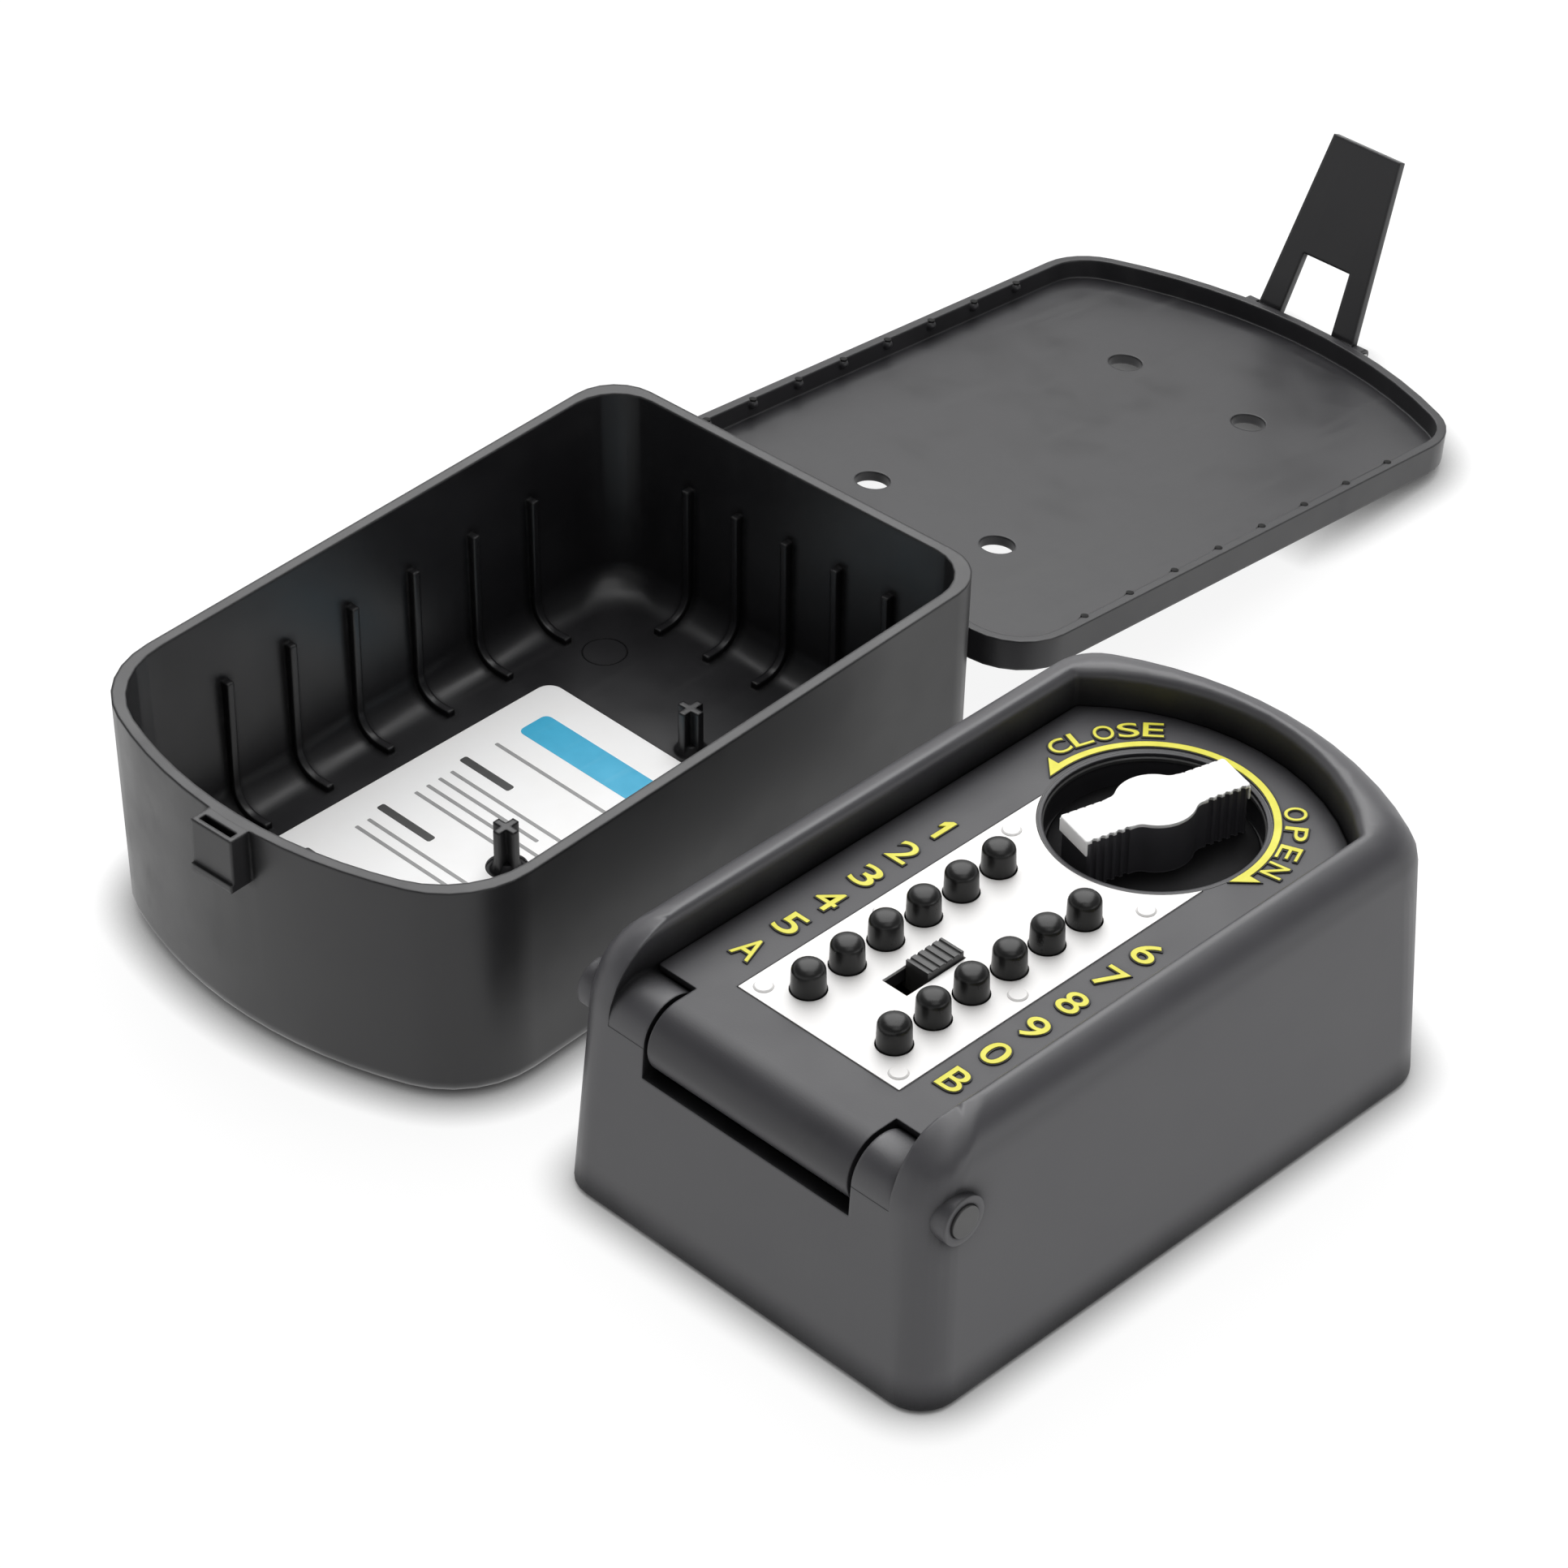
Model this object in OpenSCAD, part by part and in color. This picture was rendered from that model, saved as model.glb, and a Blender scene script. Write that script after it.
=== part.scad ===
// Outdoor key safe with push buttons and a turn knob, and its open weather cover beside it.
// Millimetres. The origin is the middle of the wall-fixing pattern, on the back face.
// +Z points out of the wall, +Y towards the knob end and +X to the right, seen from the front.

/* [Safe body] */
// Width of the body at its back
body_w = 84; // [78:0.5:100]
// Length of the body at its back
body_l = 135.25; // [124:0.25:150]
// Distance from the hinge end to the middle of the wall fixing
hinge_reach = 65.75; // [62:0.25:68]
// Height of the rim above the back
rim_z = 51.3; // [49:0.1:60]
// Radius of the bowed knob end at the back
bow_r = 68.5; // [62:0.5:90]
// Corner radius at the hinge end
near_r = 7; // [3:0.5:10]
// Corner radius at the knob end
far_r = 9.5; // [7:0.5:12]
// Draft of the two side walls
side_draft = 3; // [0:0.1:4]
// Draft of the hinge-end wall
near_draft = 4; // [1:0.1:5]
// Draft of the knob-end wall
far_draft = 2; // [0:0.1:4]
// Radius of the rim's outer edge
rim_r = 7.3; // [5:0.1:8]
// Radius with which the rim runs down to the hinge end
rim_fall = 13.5; // [9:0.5:16]
// Chamfer round the back edge
foot_edge = 0.7; // [0.2:0.1:1.5]
// Thickness of the body's outer wall at the back
wall = 4.2; // [3.5:0.1:5]
// Thickness of the back
back_t = 4; // [3:0.1:6]
// Half width of the recess in which the door lies
recess_hw = 31.5; // [30:0.1:34]
// Distance from the recess's far end to the knob end
recess_end = 9.25; // [8.5:0.05:10]
// Radius of the rim's inner edge
rim_edge = 2; // [0.5:0.1:2.4]
// Radius of the recess's bowed end
recess_r = 45; // [40:0.5:60]
// Height of the door's face above the back
face_z = 44; // [42:0.1:46]
// Width of the ledge under the door's edge
ledge_w = 2.5; // [1.5:0.1:3]
// Height of the ledge below the door's underside
ledge_drop = 1; // [0.9:0.1:2]

/* [Wall fixing] */
// Distance between the fixing holes across the body
fix_x = 31.2; // [24:0.1:40]
// Distance between the fixing holes along the body
fix_y = 76; // [60:0.5:90]
// Radius of the fixing holes in the back
fix_r = 2.75; // [2:0.05:3.5]

/* [Door and hinge] */
// Thickness of the door
door_t = 3; // [2.4:0.1:4]
// Gap between the door and the recess
door_gap = 0.4; // [0.3:0.05:0.8]
// Radius of the door's roll round the hinge pin
roll_r = 6.8; // [6.2:0.1:8]
// Half length of the door's roll
roll_hw = 22.4; // [18:0.1:25]
// Gap at each end of the roll
roll_gap = 0.9; // [0.4:0.1:1.5]
// Gap under the roll's surface
roll_clear = 0.4; // [0.3:0.05:0.8]
// How much smaller the body's ears are than the roll
ear_drop = 0.05; // [0.05:0.05:0.6]
// Gap between an ear and the door's wing over it
wing_clear = 0.3; // [0.3:0.05:0.5]
// Start of the door's wings beyond the hinge pin
wing_start = 4.2; // [3:0.1:6]
// Height of the slot below the roll
slot_h = 5.8; // [3:0.1:6]
// Radius of the hinge pin
pin_r = 2.9; // [2:0.05:3.2]
// Radius of the round boss at each end of the pin
boss_r = 4.5; // [4:0.1:6]
// Height of the boss outside the side wall
boss_h = 1.2; // [0.5:0.1:3]
// How far the pin stands out of its boss
pin_proud = 0.4; // [0.1:0.1:1]
// Radial clearance of the door's bore and of the other turning fits
turn_clear = 0.05; // [0.02:0.01:0.1]
// Thickness of the seal on the ledge
seal_t = 0.7; // [0.4:0.1:0.8]

/* [Keypad] */
// Width of the keypad plate
pad_w = 36; // [32:0.1:40]
// Near edge of the keypad plate, from the hinge end
pad_near = 18.7; // [18:0.1:20]
// Distance from the plate's far edge to the knob's centre
pad_end = 8.3; // [7:0.1:10]
// Thickness of the keypad plate
pad_t = 0.6; // [0.4:0.05:1]
// How far the plate stands out of the face
pad_proud = 0.1; // [0:0.05:0.3]
// Distance of the two rows of buttons from the middle
row_x = 9.6; // [9:0.1:11]
// First button, from the hinge end
row_near = 26.28; // [26:0.02:28]
// Distance from the last button to the knob's centre
row_end = 27.77; // [27:0.01:29]
// Radius of a button's cap, as a share of the distance between buttons
button_share = 0.325; // [0.3:0.0025:0.36]
// Height of a button above the plate
button_h = 5.5; // [4:0.1:6]
// Height of a button's dome
dome_h = 1.8; // [1.2:0.1:2.4]
// Gap round a button's cap
button_gap = 0.3; // [0.3:0.05:0.5]
// Travel of a button
button_travel = 2.2; // [1.5:0.1:2.4]
// Radius of a button's stem, as such a share
stem_share = 0.225; // [0.2:0.005:0.26]
// Radius of the collar that keeps a button in, as such a share
collar_share = 0.416; // [0.4:0.002:0.44]
// Thickness of that collar
collar_t = 1.2; // [0.8:0.1:1.5]
// Distance of the rivets from the middle
rivet_x = 15.1; // [14:0.1:16]
// Radius of a rivet's head
rivet_r = 1.75; // [1.2:0.05:2]
// Height of a rivet's head
rivet_h = 0.3; // [0.2:0.05:0.6]
// Inset of the end rivets from the plate's near edge
rivet_near = 2.9; // [2.5:0.1:4]
// Inset of the end rivets from the plate's far edge
rivet_far = 10.45; // [9:0.05:11]

/* [Reset slider] */
// Width of the slider's slot
reset_w = 5.6; // [4.5:0.1:6]
// Length of the slot
reset_l = 13.8; // [12:0.1:15]
// Near end of the slot, from the hinge end
reset_near = 36.2; // [34:0.1:38]
// Length of the slider's block
block_l = 8.3; // [6:0.1:9]
// Height of the block above the plate
block_h = 1.4; // [0.8:0.1:2]
// Number of ridges on the block
ridges = 5; // [3:1:6]
// Gap round the block
block_gap = 0.3; // [0.3:0.05:0.5]

/* [Knob and bolt] */
// Distance from the knob's centre to the knob end
knob_in = 36.75; // [36.3:0.05:37.2]
// Radius of the well round the knob
well_r = 18.8; // [18.3:0.1:19.3]
// Depth of the well below the face
well_d = 6.6; // [6:0.1:6.7]
// Wall and floor of the well
well_t = 1.3; // [1.1:0.1:1.4]
// Gap between the keypad plate and the well
well_rim = 1; // [0.8:0.1:1.6]
// Height of the knob's top above the back
knob_top = 48.6; // [47.6:0.1:50]
// Length of the knob's grip
grip_l = 32.4; // [30:0.2:34]
// Width of the knob's grip
grip_w = 8.5; // [7:0.1:10]
// Radius of the knob's round middle
grip_r = 7; // [6:0.1:8]
// Angle of the grip from the middle line, towards the open mark
grip_angle = 15.5; // [0:0.5:30]
// Radius of the knob's base disc
base_r = 18.1; // [17:0.1:18.3]
// Thickness of the base disc
base_t = 1; // [0.8:0.1:1.4]
// Gap under the base disc
base_gap = 0.3; // [0.3:0.05:0.5]
// Thickness of the light cap on the grip
cap_t = 0.6; // [0.5:0.1:1.5]
// Height of the cap's end tabs
tab_h = 3; // [2:0.1:5]
// Thickness of the cap's end tabs
tab_t = 0.4; // [0.3:0.05:0.8]
// Radius of a flute in the grip
flute_r = 0.55; // [0.3:0.05:0.8]
// Distance between flutes
flute_pitch = 1.6; // [1.4:0.05:2]
// Radius of the knob's spindle
spindle_r = 3; // [2.5:0.05:3.2]
// Depth of the spindle in the knob
spindle_in = 6; // [4:0.1:8]
// Teeth of the pinion
teeth = 12; // [10:1:16]
// Pitch radius of the pinion
pitch_r = 4.8; // [4.6:0.05:5]
// Thickness of the bolt
bolt_t = 3; // [2.5:0.1:3.2]
// Width of the bolt beyond its rack's root
bolt_w = 5.7; // [5:0.1:6.5]
// Distance from the bolt's tip at rest to the recess's far end
bolt_end = 5.4; // [5.2:0.1:7]
// Length of the bolt behind the knob's centre
bolt_back = 9.5; // [8.5:0.1:11]
// Gap round the bolt
bolt_gap = 0.35; // [0.3:0.05:0.5]
// Thickness of the guide over the bolt
guide_t = 0.8; // [0.6:0.1:0.9]
// Height of the gap between the bolt and the strike
strike_gap = 0.4; // [0.3:0.05:0.6]
// Thickness of the strike
strike_t = 1; // [0.8:0.1:1.4]
// Length of the strike across the body
strike_w = 8; // [6:0.1:12]
// Radius of the strike's screws
strike_screw_r = 0.7; // [0.5:0.05:0.9]

/* [Lock case] */
// Half width of the lock case
case_hw = 24.5; // [24.2:0.1:25.5]
// Near end of the lock case, from the hinge end
case_near = 20.6; // [20.2:0.1:21]
// Distance from the lock case to the recess's far end
case_end = 12; // [11.5:0.1:12.2]
// Wall of the lock case
case_t = 1.6; // [1.2:0.1:1.7]
// Height of the lock case below the door
case_h = 10; // [10:0.1:10.4]
// Thickness of the case's cover
cover_t = 1.6; // [1.2:0.1:2]
// Radius of the case's screw posts
post_r = 2.4; // [2.2:0.05:2.5]
// Radius of the screws' shanks
screw_r = 1.2; // [1:0.05:1.4]
// Radius of the screws' heads
head_r = 2.4; // [2:0.05:2.5]
// Height of the screws' heads
head_h = 1.2; // [0.8:0.1:1.6]
// Length of the screws' shanks
screw_l = 7; // [5:0.1:8]
// Thickness of the spring mat's sheet
mat_t = 0.8; // [0.6:0.1:1]
// Thickness of the code bar
bar_t = 2; // [1.5:0.1:2.4]
// Half width of the code bar
bar_hw = 7.6; // [7:0.1:8]
// Gap of the code bar's gates round the stems
gate_gap = 0.9; // [0.8:0.05:1.2]
// Radius of the posts that carry the code bar
bar_post_r = 2; // [1.5:0.1:2.4]
// Height of the code bar above the case's cover
bar_lift = 2.2; // [2:0.1:2.4]
// Radius of the key hooks' wire
hook_r = 1.2; // [1:0.05:1.5]
// Drop of the key hooks below the case's cover
hook_drop = 9; // [7:0.1:10]
// Bend radius of the key hooks
hook_bend = 3.2; // [2.5:0.1:4]
// Distance between the key hooks
hook_gap = 22; // [16:0.5:30]

/* [Weather cover] */
// Half width of the tub at its rim
tub_hw = 46.7; // [45:0.1:49]
// Length of the tub at its rim
tub_l = 141; // [136:0.5:146]
// Height of the tub
tub_h = 45.2; // [43:0.1:48]
// Radius of the tub's bowed end
tub_bow = 92; // [80:1:110]
// Corner radius at the tub's straight end
tub_near_r = 9.7; // [8:0.1:12]
// Corner radius at the tub's bowed end
tub_far_r = 19; // [14:0.5:22]
// Draft of the tub's walls
tub_draft = 1; // [0.2:0.1:2]
// Wall of the tub
tub_wall = 2.2; // [1.8:0.1:2.6]
// Floor of the tub
tub_floor = 2.2; // [1.8:0.1:3]
// Radius of the tub's lower outer edge
tub_edge = 4; // [2.5:0.1:5]
// Radius inside, between the walls and the floor
tub_fillet = 6; // [4:0.1:7]
// Depth of the ribs' tops below the rim
rib_top = 14.5; // [12:0.1:18]
// Thickness of a rib
rib_t = 1.5; // [1:0.1:2]
// How far a rib stands out of the wall
rib_out = 1.3; // [1:0.1:2]
// Length of a rib on the floor, past the fillet
rib_foot = 3; // [1:0.1:6]
// Number of ribs on each side wall
side_ribs = 6; // [4:1:7]
// Distance between ribs on a side wall
side_rib_pitch = 15.3; // [12:0.1:16]
// First rib on a side wall, from the straight end
side_rib_first = 25.2; // [22:0.1:28]
// Number of ribs on the straight end wall
end_ribs = 5; // [3:1:6]
// Distance between ribs on the end wall
end_rib_pitch = 12.3; // [10:0.1:13]
// Distance of the floor posts from the middle line
post_x = 4.2; // [0:0.1:8]
// First floor post, from the straight end
post_first = 33.4; // [32:0.1:35]
// Second floor post, from the straight end
post_second = 80.8; // [78:0.1:84]
// Height of a floor post
post_h = 9.5; // [7:0.1:12]
// Width of a floor post's cross
post_w = 5; // [4:0.1:6]
// Half width of the catch at the rim
catch_hw = 4.8; // [4:0.1:5.2]
// How far the catch stands out of the wall
catch_out = 4; // [3:0.1:4.5]
// Height of the catch
catch_h = 10.6; // [9:0.1:11]
// Width of the card
card_w = 54; // [50:0.5:56]
// Distance from the card's end to the tub's bowed end
card_end = 19.1; // [17:0.1:24]
// Thickness of the card
card_t = 0.5; // [0.3:0.1:0.8]
// Place of the card's far left corner, across the tub
card_x = -28.7; // [-30:0.1:-26]
// Place of the card's far left corner, from the straight end
card_y = 36.3; // [34:0.1:38]
// Angle of the card to the tub
card_turn = 2.6; // [0:0.1:4]
// Corner radius of the card
card_r = 3; // [1:0.1:5]
// Place of the cover beside the safe, across
cover_x = -113.9; // [-118:0.1:-110]
// Place of the cover beside the safe, along
cover_y = 63; // [55:0.1:70]
// Angle of the cover to the safe
cover_turn = 2.56; // [0:0.01:4]

/* [Back plate and strap] */
// How far the plate's lip stands outside the tub's rim
plate_over = 2.2; // [2:0.1:2.6]
// Thickness of the plate
plate_t = 2; // [1.6:0.1:2.4]
// Thickness of the plate's lip
lip_t = 1.9; // [1.5:0.1:2]
// Height of the lip from the plate's outer face
lip_h = 6; // [5:0.1:7.5]
// Gap over the tub's rim when the plate is shut
shut_gap = 0.4; // [0.3:0.05:0.8]
// Gap from the tub's end wall to the open plate
plate_gap = 5; // [4.6:0.1:6]
// Height of the open plate's near edge above the table
plate_z = 18.6; // [16:0.1:21]
// Slope of the open plate
plate_tilt = 7.3; // [5:0.1:8]
// Corner radius at the plate's bowed end
plate_far_r = 13; // [8:0.5:20]
// Radius of the plate's fixing holes
plate_hole_r = 3.4; // [3:0.05:4]
// First pair of plate holes, from the straight end
plate_hole_y = 33; // [30:0.1:36]
// Number of pips on each side lip
pips = 8; // [5:1:9]
// Distance between pips
pip_pitch = 13.1; // [10:0.1:13.5]
// First pip, from the straight end
pip_first = 20; // [16:0.1:26]
// Radius of a pip
pip_r = 1.1; // [0.7:0.05:1.4]
// Radius of the cover's hinge pin
cover_pin_r = 1.5; // [1.2:0.05:1.8]
// Radius of the cover's hinge knuckles
knuckle_r = 3; // [2.6:0.1:3.1]
// Distance of the hinge's arms from the middle
arm_x = 22; // [16:0.5:28]
// Width of an arm
arm_w = 10; // [7:0.5:14]
// Width of the tub's hinge lugs
lug_w = 6; // [4:0.5:8]
// Gap at the sides of the arms
lug_gap = 0.4; // [0.3:0.05:0.8]
// Length of the strap beyond the lip
strap_l = 38.5; // [32:0.5:42]
// Width of the strap at its root
strap_root = 24; // [22.5:0.1:26]
// Width of the strap at its tip
strap_tip = 16.6; // [15:0.1:20]
// Thickness of the strap
strap_t = 1.8; // [1.4:0.1:2]
// Width of the window at the strap's root
window_root = 13.6; // [13:0.1:14.2]
// Width of the window at its far end
window_tip = 11.6; // [11.2:0.1:12.4]
// Length of the window from the strap's hinge
window_l = 14; // [13.6:0.1:15]
// Lean of the standing strap from square to the plate
strap_lean = 19; // [15:0.5:25]
// Radius of the strap's hinge pin
strap_pin_r = 0.6; // [0.5:0.05:0.8]
// Radius of the strap's knuckle
strap_knuckle_r = 1.4; // [1.3:0.05:1.6]
// Height of the strap's hinge above the plate's outer face
strap_pivot_z = 3.6; // [3:0.1:4.2]

/* [Hidden] */
$fn = 40;
corner_steps = 6;
bow_steps = 12;
eps = 0.01;
hinge_end = -hinge_reach;
knob_end = body_l - hinge_reach;
recess_far = knob_end - recess_end;
knob_c = knob_end - knob_in;
axis_y = hinge_end + face_z * tan(near_draft) - roll_r * tan(near_draft) + roll_r;
axis_z = face_z - roll_r;
door_under = face_z - door_t;
ledge_z = door_under - ledge_drop;
ear_r = roll_r - ear_drop;
pocket_hw = roll_hw + roll_gap;
pocket_r = roll_r + roll_clear;
boss_x = body_w / 2 - axis_z * tan(side_draft) + boss_h;
well_z = face_z - well_d;
pad_z = face_z + pad_proud;
pad_arc = well_r + well_rim;
pad_y = hinge_end + pad_near;
pad_far = knob_c - pad_end;
row_n = 6;
row_y = hinge_end + row_near;
row_pitch = (knob_c - row_end - row_y) / (row_n - 1);
row_far = row_y + (row_n - 1) * row_pitch;
button_r = button_share * row_pitch;
stem_r = stem_share * row_pitch;
collar_r = collar_share * row_pitch;
dome_r = button_r;
case_z = door_under - case_h;
case_under = case_z - cover_t;
case_y = hinge_end + case_near;
case_far = recess_far - case_end;
collar_top = door_under - 0.35;
stem_z = case_z + mat_t + button_travel + 2.4;
bolt_z = case_z + 0.5;
strike_z = bolt_z + bolt_t + strike_gap;
cavity_top = strike_z + strike_t;
cavity_far = knob_end - wall;
cavity_r = bow_r - wall;
strike_y = recess_far - ledge_w - 0.3;
module_m = 2 * pitch_r / teeth;
rack_pitch = PI * module_m;
rack_x = pitch_r + 1.25 * module_m;
strike_far = cavity_far - cavity_r + sqrt(pow(cavity_r, 2) - pow(rack_x + strike_w, 2)) - 0.6;
spindle_z = bolt_z - 0.1;
reset_y = hinge_end + reset_near;
tub_z1 = tub_h - eps;
card_l = tub_l - card_y - card_end;
plate_hw = tub_hw + plate_over;
plate_l = tub_l + 2 * plate_over;
plate_bow = tub_bow + plate_over;
plate_near_r = tub_near_r + plate_over;
shut_z = tub_h + shut_gap + lip_h;
shut_turn = 180 + plate_tilt;
pivot_k = 1 / (2 * tan(shut_turn / 2));
pivot_y = (plate_gap + plate_over) / 2 - pivot_k * (shut_z - plate_z);
pivot_z = (plate_z + shut_z) / 2 + pivot_k * (plate_over - plate_gap);
arm_y = (pivot_y - plate_gap) * cos(plate_tilt) - (pivot_z - plate_z) * sin(plate_tilt);
arm_z = (pivot_y - plate_gap) * sin(plate_tilt) + (pivot_z - plate_z) * cos(plate_tilt);
strap_pivot_y = plate_l + strap_knuckle_r + 0.4;
strap_lug = 2.4;

// Shared forms

// Points of a plan with two round near corners and a bowed far end
function bowed(hw, near, far, r, rn, rf) =
    let (cy = far - r,
         fx = hw - rf,
         fy = cy + sqrt(pow(r - rf, 2) - fx * fx),
         a = atan2(fy - cy, fx))
    concat([for (i = [0:corner_steps]) let (b = -90 + 90 * i / corner_steps)
                [hw - rn + rn * cos(b), near + rn + rn * sin(b)]],
           [for (i = [0:corner_steps]) let (b = a * i / corner_steps)
                [fx + rf * cos(b), fy + rf * sin(b)]],
           [for (i = [1:bow_steps - 1]) let (b = a + (180 - 2 * a) * i / bow_steps)
                [r * cos(b), cy + r * sin(b)]],
           [for (i = [0:corner_steps]) let (b = 180 - a + a * i / corner_steps)
                [-fx + rf * cos(b), fy + rf * sin(b)]],
           [for (i = [0:corner_steps]) let (b = 180 + 90 * i / corner_steps)
                [-hw + rn + rn * cos(b), near + rn + rn * sin(b)]]);

// A cylinder along X between two places
module x_rod(x0, x1, r) {
    translate([x0, 0, 0]) rotate([0, 90, 0]) cylinder(r = r, h = x1 - x0);
}

// A box between two corners
module block(low, high) {
    translate(low) cube(high - low);
}

module on_hinge() {
    translate([0, axis_y, axis_z]) children();
}

module at_knob(z) {
    translate([0, knob_c, z]) children();
}

// How far a rounding of the rim, of a given radius, draws in at a height
function drawn_in(r, z) = z > rim_z - r ? r - sqrt(r * r - pow(z - rim_z + r, 2)) : 0;

// One level of the safe's outside, drawn in by the chamfer at the back and by the rim's roundings
module body_level(z, chamfer) {
    edge = chamfer + drawn_in(rim_r, z);
    translate([0, 0, z]) linear_extrude(eps)
        polygon(bowed(body_w / 2 - z * tan(side_draft) - edge,
                      hinge_end + z * tan(near_draft) + chamfer + drawn_in(rim_fall, z),
                      knob_end - z * tan(far_draft) - edge,
                      bow_r - edge, near_r, far_r));
}

module body_outside() {
    hull() {
        body_level(0, foot_edge);
        body_level(foot_edge, 0);
        for (a = [0:15:30])
            body_level(rim_z - rim_fall + (rim_fall - rim_r) * sin(a), 0);
        for (a = [0:15:90])
            body_level(rim_z - rim_r + rim_r * sin(a) - eps, 0);
    }
}

// Plan of the recess, smaller all round by a gap, from a line near the hinge
module recess_plan(gap, near) {
    polygon(bowed(recess_hw - gap, near, recess_far - gap, recess_r - gap, 0.5, 1.5));
}

// One level of the round edge that the rim has towards the recess
module rim_level(a) {
    translate([0, 0, rim_z - rim_edge + rim_edge * sin(a)]) linear_extrude(2 * eps)
        recess_plan(rim_edge * (cos(a) - 1), hinge_end - 5);
}

// The safe's fixed pieces

module housing() {
    color([0.2, 0.2, 0.21])
    difference() {
        union() {
            difference() {
                body_outside();
                translate([0, 0, ledge_z]) linear_extrude(rim_z) recess_plan(0, axis_y);
                for (a = [0:30:60]) hull() {
                    rim_level(a);
                    rim_level(a + 30);
                }
                block([-recess_hw, hinge_end - 1, axis_z], [recess_hw, axis_y + 1, rim_z + 1]);
                upper_hollow();
                lower_hollow();
                hinge_pocket();
            }
            for (s = [0, 1]) mirror([s, 0, 0]) on_hinge() {
                x_rod(pocket_hw, recess_hw + 1, ear_r);
                x_rod(recess_hw, boss_x, boss_r);
            }
        }
        on_hinge() x_rod(-boss_x - 1, boss_x + 1, pin_r + turn_clear);
        for (x = [-1, 1], y = [-1, 1])
            translate([x * fix_x / 2, y * fix_y / 2, -1]) cylinder(r = fix_r, h = back_t + 2);
        strike_screw_set(turn_clear);
    }
}

// The opening inside the ledge
module upper_hollow() {
    translate([0, 0, back_t]) linear_extrude(rim_z)
        intersection() {
            recess_plan(ledge_w, axis_y);
            translate([-body_w, axis_y + ear_r + 1]) square([2 * body_w, body_l]);
        }
}

// The wider space for keys below the ledge
module lower_hollow() {
    cavity_hw = body_w / 2 - wall;
    low_z = axis_z - ear_r - 3;
    translate([0, 0, back_t]) linear_extrude(low_z - back_t)
        polygon(bowed(cavity_hw, hinge_end + wall + 3, cavity_far, cavity_r, 3, far_r - wall));
    translate([0, 0, low_z - 1]) linear_extrude(cavity_top - low_z + 1)
        polygon(bowed(cavity_hw, axis_y + ear_r + 1.5, cavity_far, cavity_r, 3, far_r - wall));
}

module hinge_pocket() {
    on_hinge() {
        x_rod(-pocket_hw, pocket_hw, pocket_r);
        block([-pocket_hw, -2 * roll_r, -slot_h], [pocket_hw, 0, 0]);
        block([-pocket_hw, 0, -pocket_r], [pocket_hw, ear_r + 2.5, roll_r + 1]);
    }
}

module hinge_pin() {
    color([0.3, 0.3, 0.31])
    on_hinge() x_rod(-boss_x - pin_proud, boss_x + pin_proud, pin_r);
}

module door_seal() {
    color([0.06, 0.06, 0.06])
    translate([0, 0, ledge_z]) linear_extrude(seal_t)
        intersection() {
            difference() {
                recess_plan(0.2, axis_y);
                recess_plan(ledge_w - 0.2, axis_y - 9);
            }
            translate([-body_w, axis_y + ear_r + 1]) square([2 * body_w, body_l]);
        }
}

module strike() {
    color([0.7, 0.7, 0.72])
    difference() {
        block([rack_x, strike_y, strike_z], [rack_x + strike_w, strike_far, strike_z + strike_t]);
        strike_screw_set(turn_clear);
    }
}

// The strike's two sunk screws, or with a clearance the holes that they sit in
module strike_screw_set(clear) {
    for (x = [1.6, strike_w - 1.6])
        translate([rack_x + x, (strike_y + strike_far) / 2, strike_z - clear]) {
            cylinder(r = strike_screw_r + clear, h = strike_t + 2 + 2 * clear);
            cylinder(r = strike_screw_r + 0.3 + clear, h = 0.4 + 2 * clear);
        }
}

module strike_screws() {
    color([0.6, 0.6, 0.62])
    strike_screw_set(0);
}

// The door and what is fixed to it

module door() {
    color([0.2, 0.2, 0.21])
    difference() {
        union() {
            difference() {
                translate([0, 0, door_under]) linear_extrude(door_t)
                    recess_plan(door_gap, axis_y + wing_start);
                for (s = [0, 1]) mirror([s, 0, 0]) on_hinge()
                    x_rod(roll_hw, recess_hw + 1, ear_r + wing_clear);
            }
            on_hinge() {
                x_rod(-roll_hw, roll_hw, roll_r);
                block([-roll_hw, 0, roll_r - door_t], [roll_hw, wing_start + 2, roll_r]);
            }
            at_knob(well_z - well_t) cylinder(r = well_r + well_t, h = well_d + well_t - 1, $fn = 72);
        }
        on_hinge() x_rod(-roll_hw - 1, roll_hw + 1, pin_r + turn_clear);
        at_knob(well_z) cylinder(r = well_r, h = well_d + 1, $fn = 72);
        at_knob(well_z - well_t - 1) cylinder(r = spindle_r + turn_clear, h = well_t + 2);
        translate([0, 0, pad_z - pad_t]) linear_extrude(pad_t + 1) pad_plan(-0.15);
        button_holes(door_under - 1, door_t + 2);
        reset_hole(door_under - 1, door_t + 2);
        rivet_places() translate([0, 0, door_under - 1]) cylinder(r = 0.9, h = door_t + 2);
    }
}

// Plan of the keypad plate, smaller all round by a gap
module pad_plan(gap) {
    difference() {
        translate([-pad_w / 2 + gap, pad_y + gap])
            square([pad_w - 2 * gap, pad_far - pad_y - gap]);
        translate([0, knob_c]) circle(r = pad_arc + gap, $fn = 72);
    }
}

module button_places() {
    for (side = [-1, 1], i = [0:row_n - 1])
        translate([side * row_x, row_y + i * row_pitch, 0]) children();
}

module button_holes(z, h) {
    button_places() translate([0, 0, z]) cylinder(r = button_r + button_gap, h = h);
}

module reset_hole(z, h) {
    block([-reset_w / 2, reset_y, z], [reset_w / 2, reset_y + reset_l, z + h]);
}

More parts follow.
